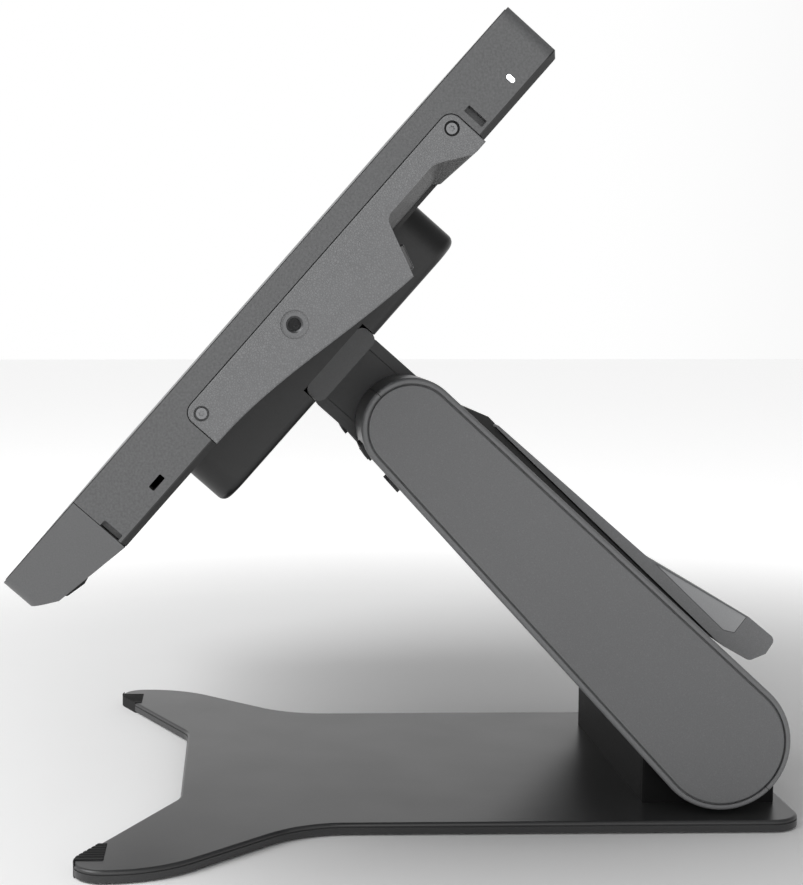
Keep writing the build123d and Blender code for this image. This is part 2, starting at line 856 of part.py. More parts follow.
with BuildPart() as neck_block:
    extrude(neck_outline(0, neck_half_width), amount=2 * neck_half_width)
    fillet(neck_block.edges().filter_by(Axis.X), radius=neck_round)
    extrude(neck_panel_outline(0, neck_half_width), amount=neck_panel_depth, mode=Mode.SUBTRACT)
    left_panel = neck_panel_outline(0, -neck_half_width + neck_panel_depth)
    extrude(left_panel, amount=neck_panel_depth, mode=Mode.SUBTRACT)
    with BuildSketch(pivot_axis(upper_pivot_y, upper_pivot_z, -neck_half_width)):
        Circle(upper_shaft_radius + hole_clearance)
    extrude(amount=2 * neck_half_width, mode=Mode.SUBTRACT)
    for side_x in (-neck_half_width, neck_half_width - upper_bush_length):
        with BuildSketch(pivot_axis(upper_pivot_y, upper_pivot_z, side_x)):
            Circle(upper_bush_radius)
        extrude(amount=upper_bush_length, mode=Mode.SUBTRACT)
    with BuildSketch(tablet_level(neck_front)):
        with Locations((0, pivot_up_tablet)):
            Circle(swivel_radius)
    extrude(amount=-swivel_grip, mode=Mode.SUBTRACT)
save(neck_block, "neck_block")

with BuildPart() as neck_panels:
    extrude(neck_panel_outline(panel_gap, neck_half_width), amount=neck_panel_depth)
    with BuildSketch(pivot_axis(upper_pivot_y, upper_pivot_z, neck_half_width - neck_panel_depth)):
        Circle(upper_bush_radius + panel_gap)
    extrude(amount=neck_panel_depth, mode=Mode.SUBTRACT)
    mirror(about=Plane.YZ)
save(neck_panels, "neck_panels")

with BuildPart() as upper_bushes:
    with BuildSketch(pivot_axis(upper_pivot_y, upper_pivot_z, neck_half_width - upper_bush_length)):
        Circle(upper_bush_radius)
        Circle(upper_shaft_radius + running_clearance, mode=Mode.SUBTRACT)
    extrude(amount=upper_bush_length)
    mirror(about=Plane.YZ)
save(upper_bushes, "upper_bushes")

with BuildPart() as swivel_pin:
    with BuildSketch(tablet_level(neck_front + swivel_grip)):
        with Locations((0, pivot_up_tablet)):
            Circle(swivel_radius)
    extrude(amount=swivel_grip + swivel_reach)
    chamfer(swivel_pin.edges().filter_by(GeomType.CIRCLE), length=0.8)
save(swivel_pin, "swivel_pin")

# ------------------------------------------------------------------ tablet bracket
with BuildPart() as mount_bracket:
    with BuildSketch(tablet_side(bracket_half_width)):
        with Locations((pivot_up_tablet, bracket_front + bracket_thickness / 2)):
            RectangleRounded(2 * bracket_half_height, bracket_thickness, bracket_round)
    extrude(amount=2 * bracket_half_width)
    with BuildSketch(tablet_level(bracket_back)):
        with Locations((0, pivot_up_tablet)):
            Circle(swivel_radius + running_clearance)
    extrude(amount=bracket_thickness, mode=Mode.SUBTRACT)
    with BuildSketch(tablet_level(bracket_back)):
        with Locations((0, pivot_up_tablet)):
            with GridLocations(2 * bracket_screw_x, 2 * bracket_screw_s, 2, 2):
                Circle(bracket_screw_head)
    extrude(amount=bracket_screw_sink, mode=Mode.SUBTRACT)
    with BuildSketch(tablet_level(bracket_back)):
        with Locations((0, pivot_up_tablet)):
            with GridLocations(2 * bracket_screw_x, 2 * bracket_screw_s, 2, 2):
                Circle(bracket_screw_radius)
    extrude(amount=bracket_thickness, mode=Mode.SUBTRACT)
save(mount_bracket, "mount_bracket")

with BuildPart() as bracket_screws:
    with BuildSketch(tablet_level(bracket_back - 1)):
        with Locations((0, pivot_up_tablet)):
            with GridLocations(2 * bracket_screw_x, 2 * bracket_screw_s, 2, 2):
                Circle(bracket_screw_head - screw_clearance)
    extrude(amount=bracket_screw_sink - 1)
    with BuildSketch(tablet_level(bracket_back - bracket_screw_sink)):
        with Locations((0, pivot_up_tablet)):
            with GridLocations(2 * bracket_screw_x, 2 * bracket_screw_s, 2, 2):
                Circle(bracket_screw_radius)
    extrude(amount=bracket_thickness - bracket_screw_sink + housing_wall)
    with BuildSketch(tablet_level(bracket_back - 1)):
        with Locations((0, pivot_up_tablet)):
            with GridLocations(2 * bracket_screw_x, 2 * bracket_screw_s, 2, 2):
                RegularPolygon(radius=1.8, side_count=6)
    extrude(amount=1.2, mode=Mode.SUBTRACT)
save(bracket_screws, "bracket_screws")

# ------------------------------------------------------------------ tablet: display stack
glass_low = glass_margin
glass_high = tablet_height - glass_margin
glass_half = half_width - glass_margin
middle_s = (glass_low + glass_high) / 2


def slab(half_x, low, high, corner, depth):
    """A rounded rectangle parallel to the glass, at a depth behind it."""
    with BuildSketch(tablet_level(depth)) as outline:
        with Locations((0, (low + high) / 2)):
            RectangleRounded(2 * half_x, high - low, corner)
    return outline.sketch


stack_half = half_width - side_wall - panel_clearance
stack_low = side_wall + stack_foot
stack_high = tablet_height - side_wall - 10
panel_depth = glass_thickness + stack_gap
backlight_depth = panel_depth + panel_thickness + stack_gap
digitizer_depth = backlight_depth + backlight_thickness + stack_gap
mid_frame_depth = digitizer_depth + digitizer_thickness + stack_gap
mid_frame_half = half_width - side_flange - panel_clearance

with BuildPart() as cover_glass:
    extrude(slab(glass_half, glass_low, glass_high, tablet_corner - glass_margin, 0), amount=-glass_thickness)
    chamfer(cover_glass.faces().sort_by(SortBy.AREA)[-1].edges(), length=0.3)
save(cover_glass, "cover_glass")

with BuildPart() as display_panel:
    extrude(slab(stack_half, stack_low, stack_high, 2, panel_depth), amount=-panel_thickness)
save(display_panel, "display_panel")

with BuildPart() as backlight:
    extrude(slab(stack_half, stack_low, stack_high, 2, backlight_depth), amount=-backlight_thickness)
save(backlight, "backlight")

with BuildPart() as digitizer_board:
    extrude(slab(stack_half - board_inset, stack_low, stack_high, board_inset, digitizer_depth),
            amount=-digitizer_thickness)
save(digitizer_board, "digitizer_board")

with BuildPart() as mid_frame:
    extrude(slab(mid_frame_half, stack_low, stack_high, 4, mid_frame_depth), amount=-mid_frame_thickness)
    with BuildSketch(tablet_level(mid_frame_depth)):
        with Locations((0, middle_s)):
            with GridLocations(70, 60, 6, 4):
                RectangleRounded(40, 30, 6)
    extrude(amount=-mid_frame_thickness, mode=Mode.SUBTRACT)
save(mid_frame, "mid_frame")

# ------------------------------------------------------------------ tablet: grips
grip_inner_high = grip_high - grip_screw_margin_high
grip_inner_low = grip_low + grip_screw_margin_low
grip_back = body_depth + grip_back_rise


def grip_outline(x):
    """The grip's side outline: rounded front corners and a back that swells to its peak."""
    with BuildSketch(tablet_side(x)) as outline:
        with BuildLine():
            Polyline(
                (grip_low, body_depth),
                (grip_low, grip_front),
                (grip_high, grip_front),
                (grip_high, grip_back),
                (grip_peak_s + grip_back_end, grip_back),
                (grip_peak_s + grip_overrun, grip_peak_d + grip_overrun_rise),
            )
            swell = Spline(
                (grip_peak_s + grip_overrun, grip_peak_d + grip_overrun_rise),
                (grip_peak_s - grip_upper_reach, grip_peak_d - grip_upper_drop),
                (grip_peak_s - grip_lower_reach, grip_peak_d - grip_lower_drop),
                (grip_low + grip_swell_end, body_depth + grip_swell_end_rise),
            )
            Line(swell @ 1, (grip_low, body_depth))
        make_face()
        fillet(outline.vertices().group_by(Axis.Y)[0], radius=grip_corner)
    return outline.sketch


def scoop_outline(floor, x, rounding):
    """The finger recess in one side plane: key face, floor, ramp and a soft lip."""
    sky = grip_peak_d + scoop_overcut / 2
    lip = scoop_end_s + scoop_ramp * (grip_back - floor)
    with BuildSketch(tablet_side(x)) as outline:
        with BuildLine():
            Polyline(
                key_face_point(sky),
                key_face_point(floor),
                (scoop_end_s, floor),
                (lip, grip_back),
                (grip_high + scoop_overcut, grip_back),
                (grip_high + scoop_overcut, sky),
                close=True,
            )
        make_face()
        round_corner(outline, key_face_point(floor), scoop_round * rounding)
        round_corner(outline, (scoop_end_s, floor), scoop_end_round * rounding)
        round_corner(outline, (lip, grip_back), scoop_lip_round * rounding)
    return outline.sketch


def key_face_point(depth):
    """A point of the sloping face that the keys stand in, at a depth behind the glass."""
    return (grip_peak_s + key_face_slope * (grip_peak_d - depth), depth)


key_face_angle = math.atan(key_face_slope)
key_outward = up_tablet * math.cos(key_face_angle) + to_back * math.sin(key_face_angle)


def key_plane(x, height):
    """Plane of one key, raised above the key face: x across, z out of the face."""
    key_s, key_d = key_face_point(key_depth)
    origin = tablet_foot + up_tablet * key_s + to_back * key_d + key_outward * height
    return Plane(origin=origin + Vector(x, 0, 0), x_dir=(1, 0, 0), z_dir=key_outward)


key_places = [key_middle_x + (index - (key_count - 1) / 2) * key_pitch for index in range(key_count)]
plate_inner_x = half_width - grip_plate
block_width = plate_inner_x - grip_inner_x

with BuildPart() as finger_scoop:
    outer_scoop = scoop_outline(scoop_floor, half_width + cut_margin, 1)
    inner_scoop = scoop_outline(scoop_inner_floor, grip_inner_x - cut_margin, scoop_inner_share)
    loft([outer_scoop, inner_scoop])

with BuildPart() as grip_right:
    extrude(grip_outline(half_width), amount=half_width - grip_inner_x)
    fillet(grip_right.faces().sort_by(Axis.X)[-1].edges(), radius=grip_edge_round)
    with BuildSketch(tablet_side(plate_inner_x)):
        with Locations((tablet_height / 2, 0)):
            Rectangle(2 * tablet_height, 2 * grip_block_front)
    extrude(amount=block_width, mode=Mode.SUBTRACT)
    for cut_s in (grip_inner_low - cut_block / 2, grip_inner_high + cut_block / 2):
        with BuildSketch(tablet_side(plate_inner_x)):
            with Locations((cut_s, body_depth)):
                Rectangle(cut_block, cut_block)
        extrude(amount=block_width, mode=Mode.SUBTRACT)
    add(finger_scoop.part, mode=Mode.SUBTRACT)
    for place in key_places:
        with BuildSketch(key_plane(place, key_proud)):
            RectangleRounded(key_width + 2 * key_gap, key_height + 2 * key_gap, key_corner + key_gap)
        extrude(amount=-(key_length + key_travel_room), mode=Mode.SUBTRACT)
    for screw_s in (grip_screw_low, grip_screw_high):
        with BuildSketch(tablet_side(half_width)):
            with Locations((screw_s, grip_screw_d)):
                Circle(screw_recess_radius)
        extrude(amount=screw_recess_depth, mode=Mode.SUBTRACT)
        with BuildSketch(tablet_side(half_width)):
            with Locations((screw_s, grip_screw_d)):
                Circle(screw_shank_radius)
        extrude(amount=screw_recess_depth + screw_length, mode=Mode.SUBTRACT)
    with BuildSketch(tablet_side(half_width)):
        with Locations((insert_s, insert_d)):
            Circle(insert_groove_radius)
    extrude(amount=insert_sink, mode=Mode.SUBTRACT)
    with BuildSketch(tablet_side(half_width)):
        with Locations((insert_s, insert_d)):
            Circle(insert_radius)
    extrude(amount=insert_sink + insert_length, mode=Mode.SUBTRACT)
save(grip_right, "grip_right")

with BuildPart() as grip_left:
    mirror(grip_right.part, about=Plane.YZ)
save(grip_left, "grip_left")

with BuildPart() as grip_screws:
    for screw_s in (grip_screw_low, grip_screw_high):
        head_x = half_width - screw_recess_depth + screw_head_height
        with BuildSketch(tablet_side(head_x)):
            with Locations((screw_s, grip_screw_d)):
                Circle(screw_head_radius)
        extrude(amount=screw_head_height)
        with BuildSketch(tablet_side(head_x)):
            with Locations((screw_s, grip_screw_d)):
                Circle(screw_drive_radius)
                with PolarLocations(screw_drive_radius, 6):
                    Circle(screw_drive_lobe)
        extrude(amount=screw_drive_depth, mode=Mode.SUBTRACT)
        with BuildSketch(tablet_side(half_width - screw_recess_depth)):
            with Locations((screw_s, grip_screw_d)):
                Circle(screw_shank_radius)
        extrude(amount=screw_length)
    mirror(about=Plane.YZ)
save(grip_screws, "grip_screws")

with BuildPart() as grip_inserts:
    with BuildSketch(tablet_side(half_width - insert_sink)):
        with Locations((insert_s, insert_d)):
            Circle(insert_radius)
            Circle(insert_hole_radius, mode=Mode.SUBTRACT)
    extrude(amount=insert_length)
    mouth = grip_inserts.faces().sort_by(Axis.X)[-1].edges().sort_by(SortBy.RADIUS)[0]
    chamfer(mouth, length=0.9)
    mirror(about=Plane.YZ)
save(grip_inserts, "grip_inserts")

for number, place in enumerate(key_places, start=1):
    for side_name, side in (("right", 1), ("left", -1)):
        with BuildPart() as key:
            with BuildSketch(key_plane(side * place, key_proud - key_length)):
                RectangleRounded(key_width, key_height, key_corner)
            extrude(amount=key_length)
            fillet(key.faces().sort_by(Axis(tablet_foot, key_outward))[-1].edges(), radius=0.5)
        save(key, f"key_{side_name}_{number}")

# ------------------------------------------------------------------ tablet: casing
with BuildPart() as grip_pocket:
    with BuildSketch(tablet_side(half_width + 5)) as pocket_outline:
        with Locations(((grip_low + grip_high) / 2, grip_front + pocket_reach / 2 - grip_gap)):
            Rectangle(grip_high - grip_low + 2 * grip_gap, pocket_reach)
        fillet(pocket_outline.vertices().group_by(Axis.Y)[0], radius=grip_corner + grip_gap)
    extrude(amount=grip_plate + 5 + grip_gap)
    pocket_middle_s = (grip_inner_low + grip_inner_high) / 2
    with BuildSketch(tablet_side(half_width)):
        with Locations((pocket_middle_s, grip_block_front + pocket_reach / 2 - grip_gap)):
            Rectangle(grip_inner_high - grip_inner_low + 2 * grip_gap, pocket_reach)
    extrude(amount=half_width - grip_inner_x + grip_gap)
    for screw_s in (grip_screw_low, grip_screw_high):
        with BuildSketch(tablet_side(half_width)):
            with Locations((screw_s, grip_screw_d)):
                Circle(screw_shank_radius)
        extrude(amount=screw_recess_depth + screw_length)
    mirror(about=Plane.YZ)

frame_low = cap_height + cap_seam
with BuildPart() as side_frame:
    extrude(slab(half_width, -cap_height, tablet_height, tablet_corner, 0.3), amount=-(side_depth - 0.3))
    extrude(slab(glass_half + 0.15, -cap_height, glass_high + 0.15, tablet_corner - glass_margin, 0),
            amount=-glass_thickness, mode=Mode.SUBTRACT)
    extrude(slab(half_width - side_wall, -cap_height - 9, tablet_height - side_wall, 3, 0),
            amount=-mid_frame_depth, mode=Mode.SUBTRACT)
    extrude(slab(half_width - side_flange, -cap_height - 9, tablet_height - side_flange, 3, 0),
            amount=-2 * side_depth, mode=Mode.SUBTRACT)
    with BuildSketch(tablet_side(half_width + 1)):
        with Locations((frame_low - tablet_height / 2, 0)):
            Rectangle(tablet_height, 4 * side_depth)
    extrude(amount=tablet_width + 2, mode=Mode.SUBTRACT)
    add(grip_pocket.part, mode=Mode.SUBTRACT)
    for side in (-1, 1):
        for slot_s in slot_places:
            with BuildSketch(tablet_side(side * (half_width - slot_depth / 2) + slot_depth)):
                with Locations((slot_s, slot_middle_d)):
                    RectangleRounded(slot_width, slot_length, slot_corner)
            extrude(amount=2 * slot_depth, mode=Mode.SUBTRACT)
    with BuildSketch(tablet_side(half_width)):
        with Locations((lock_s, lock_d)):
            RectangleRounded(lock_length, lock_width, 0.6)
    extrude(amount=side_flange, mode=Mode.SUBTRACT)
    with BuildSketch(tablet_side(half_width)):
        with Locations((status_s, status_d)):
            RectangleRounded(status_width, status_length, status_width / 2 - 0.05)
    extrude(amount=status_thickness, mode=Mode.SUBTRACT)
    with BuildSketch(tablet_end(tablet_height)):
        with Locations((-power_x, -power_d)):
            RectangleRounded(power_length + 2 * key_gap, power_width + 2 * key_gap, power_width / 2)
    extrude(amount=-power_height - power_travel_room + power_proud, mode=Mode.SUBTRACT)
save(side_frame, "side_frame")

with BuildPart() as status_lens:
    with BuildSketch(tablet_side(half_width)):
        with Locations((status_s, status_d)):
            RectangleRounded(status_width, status_length, status_width / 2 - 0.05)
    extrude(amount=status_thickness)
save(status_lens, "status_lens")

with BuildPart() as power_button:
    with BuildSketch(tablet_end(tablet_height + power_proud)):
        with Locations((-power_x, -power_d)):
            RectangleRounded(power_length, power_width, power_width / 2 - 0.05)
    extrude(amount=-power_height)
save(power_button, "power_button")

with BuildPart() as bottom_cap:
    with BuildSketch(tablet_side(half_width)):
        with BuildLine():
            Polyline((0, 0.3), (0, cap_nose_d), (cap_chamfer_s, cap_chamfer_d),
                     (cap_height, cap_back_d), (cap_height, 0.3), close=True)
        make_face()
    extrude(amount=tablet_width)
    extrude(slab(half_width, 0, 3 * cap_height, tablet_corner, 0),
            amount=-2 * body_depth, mode=Mode.INTERSECT)
    extrude(slab(glass_half + 0.15, glass_low - 0.15, 3 * cap_height, tablet_corner - glass_margin, 0),
            amount=-glass_thickness, mode=Mode.SUBTRACT)
    with BuildSketch(tablet_side(half_width - side_wall)):
        with BuildLine():
            Polyline((side_wall, glass_thickness), (side_wall, cap_nose_d - 1),
                     (cap_chamfer_s + 1, cap_chamfer_d - cap_wall), (cap_height, cap_back_d - cap_wall),
                     (cap_height, glass_thickness), close=True)
        make_face()
    extrude(amount=tablet_width - 2 * side_wall, mode=Mode.SUBTRACT)
save(bottom_cap, "bottom_cap")

cap_back_slope = (cap_back_d - cap_chamfer_d) / (cap_height - cap_chamfer_s)
with BuildPart() as cap_feet:
    with BuildSketch(tablet_side(foot_outer_x)):
        with BuildLine():
            Polyline(
                (foot_low, cap_chamfer_d + cap_back_slope * (foot_low - cap_chamfer_s)),
                (foot_low + foot_rise, cap_chamfer_d + cap_back_slope * (foot_low - cap_chamfer_s) + foot_rise),
                (foot_high - foot_rise, cap_chamfer_d + cap_back_slope * (foot_high - cap_chamfer_s) + foot_rise),
                (foot_high, cap_chamfer_d + cap_back_slope * (foot_high - cap_chamfer_s)),
                close=True,
            )
        make_face()
    extrude(amount=foot_length)
    mirror(about=Plane.YZ)
save(cap_feet, "cap_feet")

with BuildPart() as rear_cover:
    extrude(slab(half_width, frame_low - cap_height, tablet_height, tablet_corner, side_depth),
            amount=-(body_depth - side_depth))
    chamfer(rear_cover.faces().sort_by(backward)[-1].edges(), length=rear_bevel)
    with BuildSketch(tablet_side(half_width + 1)):
        with Locations((frame_low - tablet_height / 2, 0)):
            Rectangle(tablet_height, 4 * body_depth)
    extrude(amount=tablet_width + 2, mode=Mode.SUBTRACT)
    add(grip_pocket.part, mode=Mode.SUBTRACT)
    extrude(slab(housing_half_width - opening_inset, housing_low + opening_inset,
                 housing_high - opening_inset, opening_corner, side_depth),
            amount=-(body_depth - side_depth), mode=Mode.SUBTRACT)
save(rear_cover, "rear_cover")

# ------------------------------------------------------------------ electronics housing
housing_depth = housing_back - body_depth
housing_middle_d = (body_depth + housing_back) / 2 - 0.5


def end_opening(x, half, gap, height):
    """A rounded opening in the housing's end wall, centred at one place across."""
    with BuildSketch(tablet_end(height)) as outline:
        with Locations((-x, -housing_middle_d)):
            RectangleRounded(2 * (half - gap), vent_depth - 2 * gap, 2)
    return outline.sketch


top_vent = (0, vent_half_width)
low_vent = (port_width / 2 + 8, vent_half_width - port_width / 2 - 8)
ports = (-vent_half_width + port_width / 2, port_width / 2)

def channel_block(margin, depth_margin):
    """The space across the housing's back that the bracket lies in."""
    with BuildSketch(tablet_side(half_width)) as outline:
        with Locations((pivot_up_tablet, bracket_front - depth_margin + bracket_thickness)):
            Rectangle(2 * (bracket_half_height + margin), 2 * bracket_thickness)
    return outline.sketch


with BuildPart() as housing_cavity:
    extrude(slab(housing_half_width - housing_wall, housing_low + housing_wall, housing_high - housing_wall,
                 housing_corner - housing_wall, housing_back - housing_wall), amount=housing_depth)
    channel_cut = channel_block(channel_gap + housing_wall, housing_wall)
    extrude(channel_cut, amount=tablet_width, mode=Mode.SUBTRACT)

with BuildPart() as rear_housing:
    extrude(slab(housing_half_width, housing_low, housing_high, housing_corner, housing_back),
            amount=housing_depth)
    fillet(rear_housing.faces().sort_by(backward)[-1].edges(), radius=housing_round)
    add(housing_cavity.part, mode=Mode.SUBTRACT)
    extrude(channel_block(channel_gap, 0), amount=tablet_width, mode=Mode.SUBTRACT)
    extrude(end_opening(*top_vent, 0, housing_high), amount=-housing_wall, mode=Mode.SUBTRACT)
    extrude(end_opening(*low_vent, 0, housing_low), amount=housing_wall, mode=Mode.SUBTRACT)
    extrude(end_opening(*ports, 0, housing_low), amount=housing_wall, mode=Mode.SUBTRACT)
    with BuildSketch(tablet_level(bracket_front)):
        with Locations((0, pivot_up_tablet)):
            with GridLocations(2 * bracket_screw_x, 2 * bracket_screw_s, 2, 2):
                Circle(bracket_screw_radius)
    extrude(amount=housing_wall, mode=Mode.SUBTRACT)
save(rear_housing, "rear_housing")


def grille(x, half, height, name):
    """A slotted grille that fills one opening of the housing's end wall."""
    slot_count = int(2 * (half - 3) / vent_pitch)
    with BuildPart() as piece:
        extrude(end_opening(x, half, 0.15, height), amount=housing_wall - 0.5)
        with BuildSketch(tablet_end(height)):
            with Locations((-x, -housing_middle_d)):
                with GridLocations(vent_pitch, 1, slot_count, 1):
                    RectangleRounded(vent_slot, vent_depth - 3, vent_slot / 2 - 0.05)
        extrude(amount=housing_wall, mode=Mode.SUBTRACT)
    save(piece, name)


grille(*top_vent, housing_high - housing_wall, "top_grille")
grille(*low_vent, housing_low + 0.5, "low_grille")

with BuildPart() as port_panel:
    extrude(end_opening(*ports, 0.15, housing_low + 0.8), amount=housing_wall - 0.8)
    with BuildSketch(tablet_end(housing_low)):
        with Locations((-ports[0], -housing_middle_d)):
            with Locations(*[(place, 0) for place in usb_places]):
                RectangleRounded(*usb_size, usb_size[1] / 2 - 0.1)
            with Locations((video_place, 0)):
                RectangleRounded(*video_size, 1)
            with Locations((supply_place, 0)):
                Circle(supply_radius)
    extrude(amount=housing_wall, mode=Mode.SUBTRACT)
save(port_panel, "port_panel")

with BuildPart() as main_board:
    extrude(slab(board_half_width, board_low, board_high, 3, board_depth), amount=-board_thickness)
    for chip_x, chip_s, chip_size in board_chips:
        with BuildSketch(tablet_level(board_depth + board_thickness)):
            with Locations((chip_x, chip_s)):
                Rectangle(chip_size, chip_size)
        extrude(amount=-1.6)
save(main_board, "main_board")

with BuildPart() as heat_sink:
    sink_depth = board_depth + board_thickness + 1.6
    with BuildSketch(tablet_level(sink_depth)):
        with Locations((sink_x, sink_s)):
            Rectangle(sink_width, sink_height)
    extrude(amount=-3)
    with BuildSketch(tablet_level(sink_depth + 3)):
        with Locations((sink_x, sink_s)):
            with GridLocations(sink_pitch, 1, sink_fins, 1):
                Rectangle(1.2, sink_height)
    extrude(amount=-sink_fin_height)
save(heat_sink, "heat_sink")

# ------------------------------------------------------------------ fan
with BuildPart() as fan_housing:
    with BuildSketch(tablet_level(fan_front)):
        with Locations((fan_x, fan_s)):
            RectangleRounded(fan_size, fan_size, 6)
    extrude(amount=-fan_depth)
    with BuildSketch(tablet_level(fan_front + fan_wall)):
        with Locations((fan_x, fan_s)):
            Circle(fan_radius + 1.5)
    extrude(amount=-fan_depth, mode=Mode.SUBTRACT)
    with BuildSketch(tablet_level(fan_front)):
        with Locations((fan_x, fan_s)):
            Circle(fan_radius - fan_rim)
            Circle(fan_hub_radius + 2, mode=Mode.SUBTRACT)
            Rectangle(fan_size, 5, mode=Mode.SUBTRACT)
            Rectangle(5, fan_size, mode=Mode.SUBTRACT)
    extrude(amount=-fan_wall, mode=Mode.SUBTRACT)
    with BuildSketch(tablet_level(fan_front + fan_wall)):
        with Locations((fan_x, fan_s)):
            Circle(fan_pin_radius)
    extrude(amount=-(fan_depth - fan_wall - 2))
save(fan_housing, "fan_housing")

with BuildPart() as fan_rotor:
    blade_length = fan_radius - fan_hub_radius + fan_blade_overlap
    with BuildSketch(tablet_level(fan_front + fan_wall + 1)):
        with Locations((fan_x, fan_s)):
            Circle(fan_hub_radius)
            with PolarLocations((fan_hub_radius + fan_radius) / 2 - 1, fan_blades):
                Rectangle(blade_length, fan_blade_thickness, rotation=fan_blade_lean)
            Circle(fan_pin_radius + running_clearance, mode=Mode.SUBTRACT)
    extrude(amount=-(fan_depth - fan_wall - 3))
save(fan_rotor, "fan_rotor")
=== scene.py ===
"""A pen display on its folding stand: finishes, ribbed pads on the prongs and a plain studio."""
import json
import math

import bpy
from bpy.props import FloatProperty, FloatVectorProperty, IntProperty, PointerProperty
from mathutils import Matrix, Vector


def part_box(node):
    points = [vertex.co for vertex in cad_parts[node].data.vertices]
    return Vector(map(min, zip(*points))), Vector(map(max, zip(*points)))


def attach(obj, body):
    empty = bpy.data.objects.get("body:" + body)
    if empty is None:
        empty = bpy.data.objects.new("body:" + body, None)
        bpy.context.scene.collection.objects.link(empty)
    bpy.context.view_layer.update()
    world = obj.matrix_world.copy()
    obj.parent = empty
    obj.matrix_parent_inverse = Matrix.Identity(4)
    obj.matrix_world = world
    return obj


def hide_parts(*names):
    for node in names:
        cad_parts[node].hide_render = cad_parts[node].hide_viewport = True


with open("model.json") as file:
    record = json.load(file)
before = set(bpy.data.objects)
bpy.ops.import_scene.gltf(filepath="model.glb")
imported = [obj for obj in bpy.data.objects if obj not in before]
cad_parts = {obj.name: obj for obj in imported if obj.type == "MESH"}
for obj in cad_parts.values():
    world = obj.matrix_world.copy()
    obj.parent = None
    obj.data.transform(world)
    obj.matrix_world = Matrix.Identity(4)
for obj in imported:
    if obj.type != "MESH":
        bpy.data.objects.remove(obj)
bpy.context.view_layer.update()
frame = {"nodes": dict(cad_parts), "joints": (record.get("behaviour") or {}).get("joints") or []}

bl_info = {
    "name": "Pen display on a stand",
    "version": (1, 0, 0),
    "blender": (4, 5, 0),
    "location": "3D View > Sidebar > Pen display",
    "description": "Finishes and small pieces of a pen display on its folding stand",
    "category": "Object",
}

NODES = frame["nodes"]
JOINTS = {joint["name"]: joint for joint in frame["joints"]}
MM = 0.001

# Up the tablet is against the way its power button presses.
UP_TABLET = Vector(JOINTS["power_press"]["axis"]) * -1

# The finger recess, from the middle of the first key up the tablet, where painted shade darkens the grips,
# and the light skin over it that keeps the grip's colour.
HOLLOW_START = -8 * MM
HOLLOW_END = 59 * MM
HOLLOW_BLEND = 1 * MM
SKIN_DEPTH = 0.9 * MM
SKIN_BLEND = 0.4 * MM

# The cutters of the ribs, and the angle under which an edge is shaded smooth.
CUTTER_SIDES = 20
CUTTER_OVERRUN = 4 * MM
SMOOTH_ANGLE = math.radians(35)

# The studio: floor, room and lights. The floor glows from a distance, squared, that grows between two limits.
FLOOR_SIZE = 14
FLOOR_GLOW = 0.5
FLOOR_FADE_START = 0.05
FLOOR_FADE_END = 0.9
OVERHEAD_HEIGHTS = (0.22, 0.6)
OVERHEAD_DIMMING = 0.6
BEHIND_REACH = (0.2, 0.95)
BEHIND_DIMMING = 0.5
LIT_POINT = Vector((0, 0, 0.19))
KEY_LIGHT_PLACE = Vector((0.5, -1.1, 1.3))
KEY_LIGHT_SIZE = 1.2
SIDE_LIGHT_PLACE = Vector((1.7, -0.3, 0.9))
SIDE_LIGHT_SIZE = 1.4

# The camera stands square to the object's side, a little above its middle.
CAMERA_PLACE = (0.850, -0.0953, 0.2606)
CAMERA_PITCH = math.radians(-4.976)
CAMERA_YAW = math.radians(1.127)
CAMERA_SHIFT = 0.15
CAMERA_CLIP = 0.02


# ------------------------------------------------------------------ shader sums
class Wire:
    """A node's output that can stand in a sum: each operator adds its Math node."""

    def __init__(self, finish, socket):
        self.finish = finish
        self.socket = socket

    def math(self, operation, *values):
        return self.finish.node("ShaderNodeMath", {"operation": operation}, dict(enumerate(values)))

    def __add__(self, other):
        return self.math("ADD", self, other)

    def __radd__(self, other):
        return self.math("ADD", other, self)

    def __sub__(self, other):
        return self.math("SUBTRACT", self, other)

    def __rsub__(self, other):
        return self.math("SUBTRACT", other, self)

    def __mul__(self, other):
        return self.math("MULTIPLY", self, other)

    def __rmul__(self, other):
        return self.math("MULTIPLY", other, self)

    def __gt__(self, other):
        return self.math("GREATER_THAN", self, other)

    def size(self):
        """The value without its sign."""
        return self.math("ABSOLUTE", self)

    def between(self, low, high):
        """0 below low, 1 above high, and a smooth climb in between."""
        settings = {"interpolation_type": "SMOOTHSTEP"}
        inputs = {"Value": self, "From Min": low, "From Max": high}
        return self.finish.node("ShaderNodeMapRange", settings, inputs)

    def over(self, other):
        """The larger of two values."""
        return self.math("MAXIMUM", self, other)


